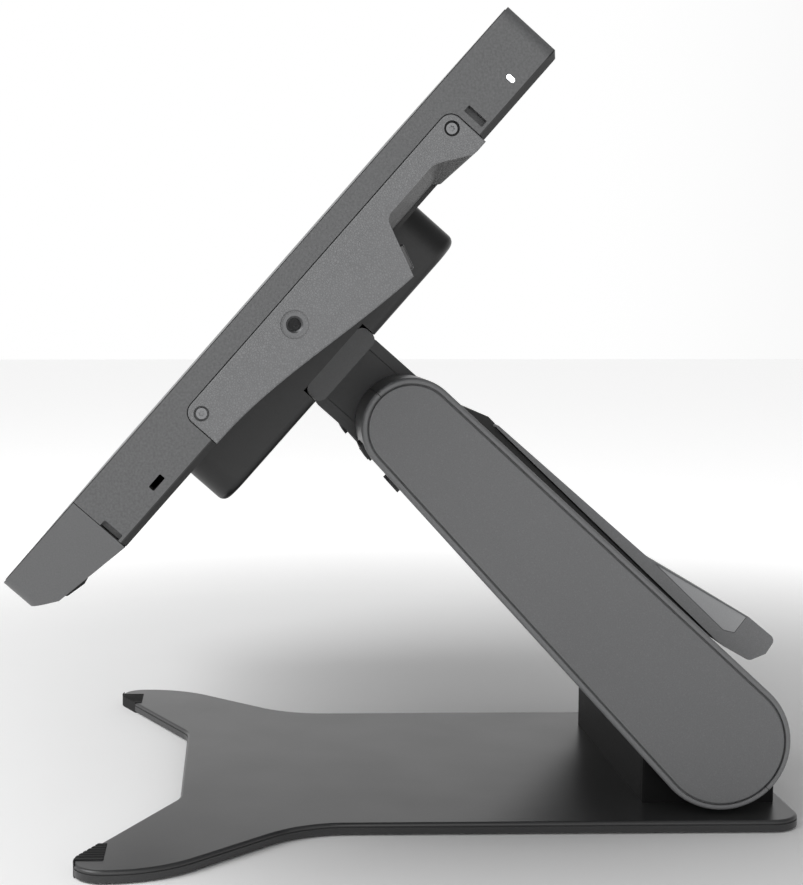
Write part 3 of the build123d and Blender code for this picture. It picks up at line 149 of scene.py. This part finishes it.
class Finish:
    """One procedural material, built up from nodes."""

    def __init__(self, name, **constants):
        self.material = bpy.data.materials.new(name)
        self.material.use_nodes = True
        self.tree = self.material.node_tree
        self.tree.nodes.clear()
        self.shader = self.tree.nodes.new("ShaderNodeBsdfPrincipled")
        output = self.tree.nodes.new("ShaderNodeOutputMaterial")
        self.tree.links.new(self.shader.outputs[0], output.inputs[0])
        for socket, value in constants.items():
            self.shader.inputs[socket.replace("_", " ")].default_value = value
        self.place = self.node("ShaderNodeTexCoord", output="Object")

    def node(self, kind, settings=None, inputs=None, output=None):
        """Adds a node: its settings first, then its sockets' values or links."""
        made = self.tree.nodes.new(kind)
        for key, value in (settings or {}).items():
            setattr(made, key, value)
        for key, value in (inputs or {}).items():
            self.feed(self.socket_of(made.inputs, key), value)
        if output is None:
            output = next(socket.identifier for socket in made.outputs if socket.enabled)
        return Wire(self, self.socket_of(made.outputs, output))

    def socket_of(self, sockets, key):
        """A socket by its number, its identifier or its name."""
        if isinstance(key, int):
            return sockets[key]
        enabled = [socket for socket in sockets if socket.enabled]
        for socket in enabled:
            if key == socket.identifier:
                return socket
        for socket in enabled:
            if key == socket.name:
                return socket
        raise KeyError(f"no socket named {key}")

    def feed(self, socket, value):
        if isinstance(value, Wire):
            self.tree.links.new(value.socket, socket)
        elif socket.type == "RGBA" and len(value) == 3:
            socket.default_value = (*value, 1.0)
        else:
            socket.default_value = value

    def set(self, **links):
        """Feeds the shader's sockets that vary over the surface."""
        for name, value in links.items():
            self.feed(self.shader.inputs[name.replace("_", " ")], value)
        return self

    # patterns, with sizes in metres
    def part_of_place(self, axis):
        """How far a point lies along a direction."""
        settings = {"operation": "DOT_PRODUCT"}
        return self.node("ShaderNodeVectorMath", settings, {0: self.place, 1: axis}, "Value")

    def mapped(self, scale):
        return self.node("ShaderNodeMapping", {}, {"Vector": self.place, "Scale": scale})

    def noise(self, size, detail=2.0, roughness=0.5, vector=None):
        inputs = {"Vector": vector or self.place, "Scale": 1 / size, "Detail": detail, "Roughness": roughness}
        return self.node("ShaderNodeTexNoise", {}, inputs, "Fac")

    def cells(self, size, feature="DISTANCE_TO_EDGE", vector=None, output="Distance"):
        return self.node("ShaderNodeTexVoronoi", {"feature": feature}, {
            "Vector": vector or self.place, "Scale": 1 / size}, output)

    def mixed(self, factor, first, second):
        """A colour between two others."""
        return self.node("ShaderNodeMix", {"data_type": "RGBA"}, {
            "Factor_Float": factor, "A_Color": first, "B_Color": second}, "Result_Color")

    def bump(self, height, depth):
        """A normal from a height of 0 to 1 that stands depth metres tall."""
        return self.node("ShaderNodeBump", {}, {"Height": height, "Distance": depth, "Strength": 1.0})


def shade(colour, factor):
    return tuple(min(1.0, part * factor) for part in colour)


# ------------------------------------------------------------------ finishes
def moulded(name, colour, grain, depth, roughness, speckle=0.12, **constants):
    """Moulded or sprayed plastic: a fine even grain over faint broad shading."""
    finish = Finish(name, **constants)
    fine = finish.noise(grain, 3.0, 0.6)
    coarse = finish.noise(grain * 2.6, 2.0, 0.5)
    broad = finish.noise(60 * MM, 2.0, 0.5)
    tone = (fine.between(0.25, 0.75) * 0.7 + coarse * 0.3) * 0.85 + broad * 0.15
    finish.set(
        Base_Color=finish.mixed(tone, shade(colour, 1 - speckle), shade(colour, 1 + speckle)),
        Roughness=roughness - 0.05 + 0.1 * coarse,
        Normal=finish.bump(fine * 0.6 + coarse * 0.4, depth),
    )
    return finish


def powder_coat(name, colour, roughness):
    """Powder coat: soft orange peel, tiny specks and faint cloudiness in the sheen."""
    finish = Finish(name, Specular_IOR_Level=0.55)
    peel = finish.noise(1.6 * MM, 1.0, 0.4)
    specks = finish.noise(0.5 * MM, 2.0, 0.6)
    cloud = finish.noise(45 * MM, 3.0, 0.55)
    finish.set(
        Base_Color=finish.mixed(specks.between(0.35, 0.7), shade(colour, 0.85), shade(colour, 1.2)),
        Roughness=roughness - 0.04 + 0.08 * cloud + 0.04 * specks,
        Normal=finish.bump(peel * 0.7 + specks * 0.3, 0.02 * MM),
    )
    return finish


def grained_paint_and_glints(name, colour, roughness):
    """Satin paint on the arm's covers and lever: dense fine grain that catches the light, with the paint's
    metal flecks shown as painted glints that are lighter in the colour.
    """
    finish = Finish(name, Metallic=0.15, Specular_IOR_Level=0.45)
    grain = finish.noise(0.55 * MM, 2.0, 0.65)
    sparkle_cells = finish.cells(0.5 * MM, "F1", output="Color")
    broad = finish.noise(90 * MM, 2.0, 0.5)
    tone = grain.between(0.3, 0.7) * 0.6 + broad * 0.4
    base = finish.mixed(tone, shade(colour, 0.86), shade(colour, 1.12))
    # Painted glints: a few fleck cells are painted almost twice as light, standing in for the paint's metal
    # flecks catching the light.
    painted_glint_tone = finish.node("ShaderNodeSeparateColor", {}, {0: sparkle_cells}, "Red")
    finish.set(
        Base_Color=finish.mixed((painted_glint_tone > 0.95) * 0.12, base, shade(colour, 1.9)),
        Roughness=roughness - 0.04 + 0.08 * grain,
        Normal=finish.bump(grain, 0.025 * MM),
    )
    return finish


def leather_grain_and_hollow_shade(name, colour, hollow_shade_colour, roughness):
    """Leather-like grain: small uneven pillows parted by creases, with painted shade that makes it darker and
    plainer in the finger hollow.
    """
    finish = Finish(name, Specular_IOR_Level=0.4)
    skin = frame_half_width() - SKIN_DEPTH
    across = finish.part_of_place((1, 0, 0)).size()
    low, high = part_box("key_right_1")
    key_height = ((low + high) / 2).dot(UP_TABLET)
    above_key = finish.part_of_place(tuple(UP_TABLET)) - key_height
    begun = above_key.between(HOLLOW_START, HOLLOW_START + HOLLOW_BLEND)
    ended = above_key.between(HOLLOW_END - HOLLOW_BLEND, HOLLOW_END)
    # Painted shade: inside the finger recess, below the outer skin, the grip's colour is darkened where shade
    # falls.
    hollow = (1 - across.between(skin - SKIN_BLEND, skin)) * (begun * (1 - ended))
    drift = finish.noise(5 * MM, 2.0, 0.5)
    drifts = finish.node("ShaderNodeTexNoise", {}, {"Vector": finish.place, "Scale": 1 / (1.4 * MM)}, "Color")
    reach = {0: drifts, "Scale": 0.9 * MM}
    wander = finish.node("ShaderNodeVectorMath", {"operation": "SCALE"}, reach, "Vector")
    bent = finish.node("ShaderNodeVectorMath", {"operation": "ADD"}, {0: finish.place, 1: wander}, "Vector")
    crease = finish.cells(0.95 * MM, vector=bent)
    pores = finish.noise(0.45 * MM, 3.0, 0.65)
    pillow = crease.between(0.0, 0.3)
    height = pillow * 0.7 + pores * 0.3
    tone = pillow * 0.45 + drift * 0.2 + pores.between(0.3, 0.7) * 0.35
    skin_colour = finish.mixed(tone, shade(colour, 0.66), shade(colour, 1.16))
    # The darker, plainer colour of the recess is painted shade.
    recess_shade_colour = finish.mixed(tone, shade(hollow_shade_colour, 0.7), shade(hollow_shade_colour, 1.3))
    finish.set(
        Base_Color=finish.mixed(hollow, skin_colour, recess_shade_colour),
        Roughness=roughness + 0.08 - 0.1 * pillow,
        Normal=finish.bump(height, 0.07 * MM),
    )
    return finish


def frame_half_width():
    """Half the tablet's width, from its casing."""
    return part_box("side_frame")[1].x


def rubber(name, colour):
    """Matt rubber with a bloom that comes and goes."""
    finish = Finish(name, Specular_IOR_Level=0.3)
    bloom = finish.noise(9 * MM, 4.0, 0.6)
    grain = finish.noise(0.4 * MM, 2.0, 0.6)
    finish.set(
        Base_Color=finish.mixed(bloom, shade(colour, 0.8), shade(colour, 1.5)),
        Roughness=0.72 + 0.15 * bloom,
        Normal=finish.bump(grain, 0.03 * MM),
    )
    return finish


def turned_steel(name, colour, roughness):
    """Turned metal: fine rings along the part's length across the object."""
    finish = Finish(name, Metallic=1.0)
    rings = finish.noise(1.0, 2.0, 0.6, finish.mapped(scale=(9000, 40, 40)))
    stain = finish.noise(12 * MM, 3.0, 0.5)
    finish.set(
        Base_Color=finish.mixed(stain, shade(colour, 0.85), shade(colour, 1.1)),
        Roughness=roughness + 0.1 * rings + 0.08 * stain,
        Normal=finish.bump(rings, 0.004 * MM),
    )
    return finish


def cast_metal(name, colour, roughness):
    """Cast metal: a pebbled skin with cloudy shading."""
    finish = Finish(name, Metallic=0.9)
    pebble = finish.noise(1.2 * MM, 3.0, 0.6)
    cloud = finish.noise(25 * MM, 3.0, 0.5)
    finish.set(
        Base_Color=finish.mixed(cloud, shade(colour, 0.8), shade(colour, 1.1)),
        Roughness=roughness + 0.15 * pebble,
        Normal=finish.bump(pebble, 0.06 * MM),
    )
    return finish


def circuit_board(name, colour):
    """A board's solder mask with copper runs under it and bright pads."""
    finish = Finish(name, Coat_Weight=0.4, Coat_Roughness=0.15)
    across = finish.part_of_place((1, 0, 0))
    up = finish.part_of_place(tuple(UP_TABLET))
    lattice = finish.node("ShaderNodeCombineXYZ", {}, {"X": across, "Y": up})
    runs = finish.node("ShaderNodeTexBrick", {"offset": 0.5}, {
        "Vector": lattice, "Scale": 1 / (6 * MM), "Mortar Size": 0.03}, "Fac")
    fill = finish.cells(9 * MM, "F1", lattice, "Color")
    fill_tone = finish.node("ShaderNodeSeparateColor", {}, {0: fill}, "Red")
    base = finish.mixed(fill_tone * 0.5, shade(colour, 0.75), shade(colour, 1.25))
    finish.set(
        Base_Color=finish.mixed(runs * 0.6, base, shade(colour, 2.0)),
        Roughness=0.35 + 0.15 * fill_tone,
        Normal=finish.bump(1 - runs, 0.03 * MM),
    )
    return finish


def screen_glass(name, border):
    """Etched glass over an idle screen, with a black printed border round the lit area."""
    low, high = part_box("cover_glass")
    finish = Finish(name, Coat_Weight=0.15, Coat_Roughness=0.3, Coat_IOR=1.3, Specular_IOR_Level=0.25)
    middle = (low + high) / 2
    across = (finish.part_of_place((1, 0, 0)) - middle.x).size()
    up = (finish.part_of_place(tuple(UP_TABLET)) - middle.dot(UP_TABLET)).size()
    half_width = (high.x - low.x) / 2 - border
    half_height = half_width * 9 / 16
    outside = (across > half_width).over(up > half_height)
    etch = finish.noise(0.25 * MM, 2.0, 0.6)
    dust = finish.noise(30 * MM, 3.0, 0.55)
    lit = finish.mixed(dust, (0.016, 0.018, 0.021), (0.022, 0.024, 0.028))
    finish.set(
        Base_Color=finish.mixed(outside, lit, (0.004, 0.004, 0.0045)),
        Roughness=0.3 + 0.06 * etch + 0.05 * dust - 0.08 * outside,
        Normal=finish.bump(etch, 0.002 * MM),
    )
    return finish


def panel_layers(name, colour, roughness):
    """A film or panel of the display stack, with the faint weave of its pixels."""
    finish = Finish(name)
    weave = finish.noise(0.3 * MM, 1.0, 0.5)
    drift = finish.noise(40 * MM, 2.0, 0.5)
    finish.set(
        Base_Color=finish.mixed(drift, shade(colour, 0.92), shade(colour, 1.05)),
        Roughness=roughness + 0.1 * weave,
        Normal=finish.bump(weave, 0.005 * MM),
    )
    return finish


def polished_key(name, colour):
    """Polished black plastic with the faintest handling haze."""
    finish = Finish(name, Coat_Weight=0.5, Coat_Roughness=0.08, Specular_IOR_Level=0.55)
    haze = finish.noise(4 * MM, 3.0, 0.6)
    grain = finish.noise(0.5 * MM, 2.0, 0.5)
    finish.set(
        Base_Color=finish.mixed(haze, shade(colour, 0.8), shade(colour, 1.3)),
        Roughness=0.18 + 0.16 * haze,
        Normal=finish.bump(grain, 0.003 * MM),
    )
    return finish


def status_light(name, colour, brightness):
    """A small white light behind a clear diffuser."""
    finish = Finish(name, Emission_Strength=brightness, Roughness=0.3)
    glow = finish.noise(1.5 * MM, 2.0, 0.5)
    finish.set(
        Base_Color=finish.mixed(glow, shade(colour, 0.9), colour),
        Emission_Color=finish.mixed(glow, shade(colour, 0.93), colour),
    )
    return finish


def paint_nodes(finish, *names):
    """Gives CAD nodes a finish in place of their own materials."""
    for name in names:
        node = NODES[name]
        node.data.materials.clear()
        node.data.materials.append(finish.material)


# ------------------------------------------------------------------ modelling helpers
def work_alone(piece):
    bpy.ops.object.select_all(action="DESELECT")
    piece.select_set(True)
    bpy.context.view_layer.objects.active = piece


def apply_modifiers(piece):
    work_alone(piece)
    for modifier in list(piece.modifiers):
        bpy.ops.object.modifier_apply(modifier=modifier.name)


def settle(piece, body, finish, replaced=()):
    """Puts a finished mesh at the origin and hands it to its body."""
    work_alone(piece)
    bpy.ops.object.transform_apply(location=True, rotation=True, scale=True)
    piece.data.materials.clear()
    piece.data.materials.append(finish.material)
    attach(piece, body)
    if replaced:
        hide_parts(*replaced)
    return piece


def merged_copy(node, name):
    """A copy of a CAD node's mesh with its loose triangles joined up."""
    copy = bpy.data.objects.new(name, NODES[node].data.copy())
    bpy.context.scene.collection.objects.link(copy)
    work_alone(copy)
    bpy.ops.object.mode_set(mode="EDIT")
    bpy.ops.mesh.select_all(action="SELECT")
    bpy.ops.mesh.remove_doubles(threshold=0.00001)
    bpy.ops.mesh.tris_convert_to_quads()
    bpy.ops.object.mode_set(mode="OBJECT")
    return copy


# ------------------------------------------------------------------ settings
def colour_setting(label, note, default):
    return FloatVectorProperty(
        name=label, description=note, subtype="COLOR", size=3, min=0, max=1, default=default)


def length_setting(label, note, default):
    return FloatProperty(name=label, description=note, unit="LENGTH", default=default, min=0)


def share_setting(label, note, default):
    return FloatProperty(name=label, description=note, default=default, min=0, max=1)


def amount_setting(label, note, default, **limits):
    return FloatProperty(name=label, description=note, default=default, min=0, **limits)


def grey(level):
    return (level, level * 1.01, level * 1.03)


class BaseSettings(bpy.types.PropertyGroup):
    plate_colour: colour_setting("Plate", "Colour of the base plate's powder coat", grey(0.03))
    plate_gloss: share_setting("Plate roughness", "How dull the plate is", 0.3)
    post_colour: colour_setting("Post", "Colour of the post's shell and caps", grey(0.007))
    rubber_colour: colour_setting("Rubber", "Colour of the pads and feet", grey(0.012))
    rib_count: IntProperty(name="Ribs", description="Grooves across each prong's pad", default=6, min=1)
    rib_depth: length_setting("Rib depth", "How deep the pad's grooves are", 0.0008)
    ribs_start: length_setting("Ribs start", "Where the ribs begin, from the middle of the plate", 0.132)
    ribbed_width: length_setting("Ribbed width", "How far the ribs run across each pad", 0.022)


class ArmSettings(bpy.types.PropertyGroup):
    cover_colour: colour_setting("Cover", "Colour of the arm's side covers", grey(0.15))
    shell_colour: colour_setting("Shell", "Colour of the arm's two shells", grey(0.16))
    spine_colour: colour_setting("Spine", "Colour of the channel behind the lever", grey(0.014))
    lever_colour: colour_setting("Lever", "Colour of the release lever", grey(0.2))
    inlay_colour: colour_setting("Inlay", "Colour of the lever's side inlays", grey(0.4))
    neck_colour: colour_setting("Neck", "Colour of the neck and bracket", grey(0.035))


class TabletSettings(bpy.types.PropertyGroup):
    frame_colour: colour_setting("Frame", "Colour of the tablet's side frame", grey(0.09))
    cap_colour: colour_setting("End cap", "Colour of the bottom end cap", grey(0.1))
    rear_colour: colour_setting("Back", "Colour of the back and its housing", grey(0.012))
    grip_colour: colour_setting("Grip", "Colour of the side grips", grey(0.165))
    # The finger hollow's colour is painted shade, darker than the grip where the recess is shaded.
    hollow_shade_colour: colour_setting("Finger hollow", "Colour of the grips inside the finger recess", grey(0.02))
    screen_border: length_setting("Screen border", "Printed border beside the lit area", 0.0036)
    light_brightness: amount_setting("Status light", "Brightness of the status light", 3.0)


class StudioSettings(bpy.types.PropertyGroup):
    floor_tone: share_setting("Floor", "Tone of the floor", 0.86)
    sky_strength: amount_setting("Room light", "Light from the whole room", 1.0)
    key_power: amount_setting("Key light", "Power of the main soft light", 22, unit="POWER")
    fill_power: amount_setting("Fill light", "Power of the side light", 5, unit="POWER")
    lens: FloatProperty(name="Lens", description="Focal length", default=62.93, unit="CAMERA", min=1)


SETTINGS = {
    "display_base": BaseSettings,
    "display_arm": ArmSettings,
    "display_tablet": TabletSettings,
    "display_studio": StudioSettings,
}


# ------------------------------------------------------------------ operators
class PENDISPLAY_OT_base_finish(bpy.types.Operator):
    """Coat the base plate and finish the post and what is inside it"""

    bl_idname = "pen_display.base_finish"
    bl_label = "Finish the base"

    def execute(self, context):
        values = context.scene.display_base
        paint_nodes(powder_coat("plate_coat", tuple(values.plate_colour), values.plate_gloss), "base_plate")
        post_colour = tuple(values.post_colour)
        paint_nodes(moulded("post_skin", post_colour, 0.6 * MM, 0.03 * MM, 0.5, Specular_IOR_Level=0.12),
                    "post_shell", "post_caps")
        paint_nodes(rubber("floor_rubber", tuple(values.rubber_colour)), "base_pad")
        paint_nodes(cast_metal("post_casting", grey(0.4), 0.42), "post_core")
        paint_nodes(turned_steel("spring_strip", grey(0.35), 0.28), "lift_springs")
        paint_nodes(turned_steel("bush_bronze", (0.5, 0.34, 0.17), 0.32), "lower_bushes", "upper_bushes")
        return {"FINISHED"}


class PENDISPLAY_OT_ribbed_pads(bpy.types.Operator):
    """Cut ribs across the rubber pads on the prongs"""

    bl_idname = "pen_display.ribbed_pads"
    bl_label = "Ribbed prong pads"

    def execute(self, context):
        values = context.scene.display_base
        low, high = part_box("prong_pads")
        pads = merged_copy("prong_pads", "ribbed_pads")
        pitch = values.ribbed_width / (values.rib_count + 1)
        grooves = []
        for side in (-1, 1):
            for number in range(values.rib_count):
                bpy.ops.object.select_all(action="DESELECT")
                place = side * (values.ribs_start + pitch * (number + 1))
                bpy.ops.mesh.primitive_cylinder_add(
                    vertices=CUTTER_SIDES, radius=values.rib_depth, depth=high.y - low.y + CUTTER_OVERRUN,
                    location=(place, (low.y + high.y) / 2, high.z), rotation=(math.radians(90), 0, 0))
                grooves.append(bpy.context.active_object)
        bpy.ops.object.select_all(action="DESELECT")
        for groove in grooves:
            groove.select_set(True)
        bpy.context.view_layer.objects.active = grooves[0]
        bpy.ops.object.join()
        cutter = bpy.context.active_object
        cut = pads.modifiers.new("grooves", "BOOLEAN")
        cut.operation = "DIFFERENCE"
        cut.solver = "EXACT"
        cut.object = cutter
        apply_modifiers(pads)
        bpy.data.objects.remove(cutter)
        work_alone(pads)
        bpy.ops.object.shade_smooth_by_angle(angle=SMOOTH_ANGLE)
        finish = rubber("pad_rubber", tuple(values.rubber_colour))
        settle(pads, "base", finish, ["prong_pads"])
        return {"FINISHED"}


class PENDISPLAY_OT_arm_finish(bpy.types.Operator):
    """Paint the arm's covers and shells, its spine and the release lever"""

    bl_idname = "pen_display.arm_finish"
    bl_label = "Finish the arm"

    def execute(self, context):
        values = context.scene.display_arm
        # The covers' and lever's paint carries painted glints.
        paint_nodes(grained_paint_and_glints("cover_paint", tuple(values.cover_colour), 0.42),
                    "arm_cover_left", "arm_cover_right")
        paint_nodes(moulded("arm_skin", tuple(values.shell_colour), 0.6 * MM, 0.03 * MM, 0.4),
                    "arm_front_shell", "arm_rear_shell")
        paint_nodes(moulded("spine_skin", tuple(values.spine_colour), 0.8 * MM, 0.04 * MM, 0.5),
                    "spine_cover")
        paint_nodes(grained_paint_and_glints("lever_paint", tuple(values.lever_colour), 0.4), "release_lever")
        paint_nodes(moulded("inlay_skin", tuple(values.inlay_colour), 0.5 * MM, 0.015 * MM, 0.35),
                    "lever_inlays")
        paint_nodes(rubber("bumper_rubber", grey(0.05)), "arm_bumpers")
        paint_nodes(cast_metal("arm_casting", grey(0.4), 0.42), "arm_frame")
        paint_nodes(turned_steel("shaft_steel", grey(0.55), 0.22),
                    "lower_shaft", "upper_shaft", "lever_pin", "swivel_pin")
        paint_nodes(turned_steel("leaf_steel", grey(0.4), 0.3), "lever_spring")
        return {"FINISHED"}


class PENDISPLAY_OT_neck_finish(bpy.types.Operator):
    """Finish the neck, its side panels and the tablet's bracket"""

    bl_idname = "pen_display.neck_finish"
    bl_label = "Finish the neck"

    def execute(self, context):
        colour = tuple(context.scene.display_arm.neck_colour)
        paint_nodes(moulded("neck_skin", colour, 0.6 * MM, 0.03 * MM, 0.38), "neck_block")
        paint_nodes(moulded("panel_skin", shade(colour, 1.1), 0.6 * MM, 0.02 * MM, 0.45), "neck_panels")
        paint_nodes(moulded("bracket_skin", shade(colour, 1.7), 0.6 * MM, 0.03 * MM, 0.4), "mount_bracket")
        return {"FINISHED"}


class PENDISPLAY_OT_casing_finish(bpy.types.Operator):
    """Finish the tablet's glass, frame, end cap, back and housing"""

    bl_idname = "pen_display.casing_finish"
    bl_label = "Finish the casing"

    def execute(self, context):
        values = context.scene.display_tablet
        rear = tuple(values.rear_colour)
        paint_nodes(screen_glass("screen_glass", values.screen_border), "cover_glass")
        paint_nodes(moulded("frame_spray", tuple(values.frame_colour), 1.0 * MM, 0.09 * MM, 0.45, 0.3),
                    "side_frame")
        paint_nodes(moulded("cap_skin", tuple(values.cap_colour), 0.6 * MM, 0.03 * MM, 0.42, 0.14),
                    "bottom_cap")
        paint_nodes(moulded("rear_skin", rear, 0.7 * MM, 0.04 * MM, 0.4), "rear_cover")
        paint_nodes(moulded("housing_skin", rear, 0.7 * MM, 0.04 * MM, 0.36), "rear_housing")
        paint_nodes(moulded("grille_skin", shade(rear, 0.7), 0.6 * MM, 0.03 * MM, 0.45),
                    "top_grille", "low_grille", "port_panel")
        paint_nodes(rubber("foot_rubber", grey(0.014)), "cap_feet")
        paint_nodes(status_light("status_glow", (0.95, 0.97, 1.0), values.light_brightness), "status_lens")
        return {"FINISHED"}


class PENDISPLAY_OT_grip_finish(bpy.types.Operator):
    """Give the side grips their leather-like grain with painted shade in the finger hollow, and finish the
    keys, screws and inserts
    """

    bl_idname = "pen_display.grip_finish"
    bl_label = "Finish the grips"

    def execute(self, context):
        values = context.scene.display_tablet
        # The grips' finish paints shade into the finger hollow.
        grain = leather_grain_and_hollow_shade("grip_grain_and_hollow_shade", tuple(values.grip_colour), tuple(values.hollow_shade_colour), 0.45)
        paint_nodes(grain, "grip_right", "grip_left")
        keys = [name for name in NODES if name.startswith("key_")]
        paint_nodes(polished_key("key_polish", grey(0.02)), "power_button", *keys)
        paint_nodes(turned_steel("screw_black", grey(0.22), 0.3),
                    "grip_screws", "bracket_screws", "base_screws")
        paint_nodes(turned_steel("insert_steel", grey(0.16), 0.35), "grip_inserts")
        return {"FINISHED"}


class PENDISPLAY_OT_inner_finish(bpy.types.Operator):
    """Finish the display's layers, boards, heat sink and fan"""

    bl_idname = "pen_display.inner_finish"
    bl_label = "Finish the inner parts"

    def execute(self, context):
        paint_nodes(panel_layers("panel_film", grey(0.03), 0.3), "display_panel")
        paint_nodes(panel_layers("light_film", (0.8, 0.8, 0.78), 0.5), "backlight")
        paint_nodes(circuit_board("solder_mask", (0.02, 0.11, 0.05)), "digitizer_board", "main_board")
        paint_nodes(cast_metal("frame_casting", grey(0.42), 0.4), "mid_frame", "heat_sink")
        paint_nodes(moulded("fan_skin", grey(0.02), 0.6 * MM, 0.02 * MM, 0.4), "fan_housing", "fan_rotor")
        return {"FINISHED"}


class PENDISPLAY_OT_studio(bpy.types.Operator):
    """Lay the floor, set the soft lights and stand the camera beside the object"""

    bl_idname = "pen_display.studio"
    bl_label = "Studio"

    def execute(self, context):
        values = context.scene.display_studio
        bpy.ops.object.select_all(action="DESELECT")
        bpy.ops.mesh.primitive_plane_add(size=FLOOR_SIZE, location=(0, 0, 0))
        floor = context.active_object
        floor.name = "studio_floor"
        paper = Finish("studio_paper", Specular_IOR_Level=0.2, Emission_Strength=FLOOR_GLOW)
        fibre = paper.noise(60 * MM, 2.0, 0.5)
        tone = values.floor_tone
        across = paper.part_of_place((1, 0, 0))
        along = paper.part_of_place((0, 1, 0))
        away = (across * across + along * along).between(FLOOR_FADE_START, FLOOR_FADE_END)
        paper.set(
            Base_Color=paper.mixed(fibre, (tone, tone, tone), (tone + 0.01,) * 3),
            Roughness=0.85 + 0.05 * fibre,
            Emission_Color=paper.mixed(away, (0, 0, 0), (1, 1, 1)),
        )
        floor.data.materials.append(paper.material)
        self.light_room(context, values.sky_strength)
        for name, place, size, power in (
            ("key_light", KEY_LIGHT_PLACE, KEY_LIGHT_SIZE, values.key_power),
            ("side_light", SIDE_LIGHT_PLACE, SIDE_LIGHT_SIZE, values.fill_power),
        ):
            bpy.ops.object.light_add(type="AREA", location=place)
            light = context.active_object
            light.name = name
            light.rotation_euler = (LIT_POINT - place).to_track_quat("-Z", "Y").to_euler()
            light.data.size = size
            light.data.energy = power
            light.visible_camera = False
        self.stand_camera(context, values.lens)
        context.scene.view_settings.view_transform = "Standard"
        return {"FINISHED"}

    def light_room(self, context, strength):
        """A pale room, bright round the horizon, dimmer overhead and behind the object."""
        world = bpy.data.worlds.new("studio_room")
        context.scene.world = world
        world.use_nodes = True
        tree = world.node_tree
        room = Finish.__new__(Finish)
        room.tree = tree
        direction = room.node("ShaderNodeTexCoord", output="Generated")
        across = room.node("ShaderNodeSeparateXYZ", {}, {0: direction}, "Y")
        height = room.node("ShaderNodeSeparateXYZ", {}, {0: direction}, "Z")
        overhead = height.between(*OVERHEAD_HEIGHTS)
        behind = across.between(*BEHIND_REACH)
        level = (1 - overhead * OVERHEAD_DIMMING) * (1 - behind * BEHIND_DIMMING) * strength
        tree.links.new(level.socket, tree.nodes["Background"].inputs["Strength"])
        tree.nodes["Background"].inputs["Color"].default_value = (1, 1, 1, 1)

    def stand_camera(self, context, lens):
        """Adds the camera and makes it the scene's."""
        level = math.radians(90)
        bpy.ops.object.camera_add(
            location=CAMERA_PLACE, rotation=(level + CAMERA_PITCH, 0, level - CAMERA_YAW))
        camera = context.active_object
        camera.name = "side_camera"
        camera.data.lens = lens
        camera.data.shift_x = CAMERA_SHIFT
        camera.data.clip_start = CAMERA_CLIP
        context.scene.camera = camera


OPERATORS = (
    PENDISPLAY_OT_base_finish,
    PENDISPLAY_OT_ribbed_pads,
    PENDISPLAY_OT_arm_finish,
    PENDISPLAY_OT_neck_finish,
    PENDISPLAY_OT_casing_finish,
    PENDISPLAY_OT_grip_finish,
    PENDISPLAY_OT_inner_finish,
    PENDISPLAY_OT_studio,
)


class PENDISPLAY_PT_sidebar(bpy.types.Panel):
    """The pieces and finishes, in the order they are made"""

    bl_idname = "PENDISPLAY_PT_sidebar"
    bl_label = "Pen display"
    bl_space_type = "VIEW_3D"
    bl_region_type = "UI"
    bl_category = "Pen display"

    def draw(self, context):
        for operator in OPERATORS:
            self.layout.operator(operator.bl_idname)
        for name, group in SETTINGS.items():
            settings = getattr(context.scene, name)
            box = self.layout.box()
            for key in group.__annotations__:
                box.prop(settings, key)


def register():
    for group in SETTINGS.values():
        bpy.utils.register_class(group)
    for operator in OPERATORS:
        bpy.utils.register_class(operator)
    bpy.utils.register_class(PENDISPLAY_PT_sidebar)
    for name, group in SETTINGS.items():
        setattr(bpy.types.Scene, name, PointerProperty(type=group))


def unregister():
    for name in SETTINGS:
        delattr(bpy.types.Scene, name)
    bpy.utils.unregister_class(PENDISPLAY_PT_sidebar)
    for operator in reversed(OPERATORS):
        bpy.utils.unregister_class(operator)
    for group in reversed(list(SETTINGS.values())):
        bpy.utils.unregister_class(group)


def main():
    register()
    for operator in OPERATORS:
        group, name = operator.bl_idname.split(".")
        getattr(getattr(bpy.ops, group), name)()


if __name__ == "__main__":
    main()
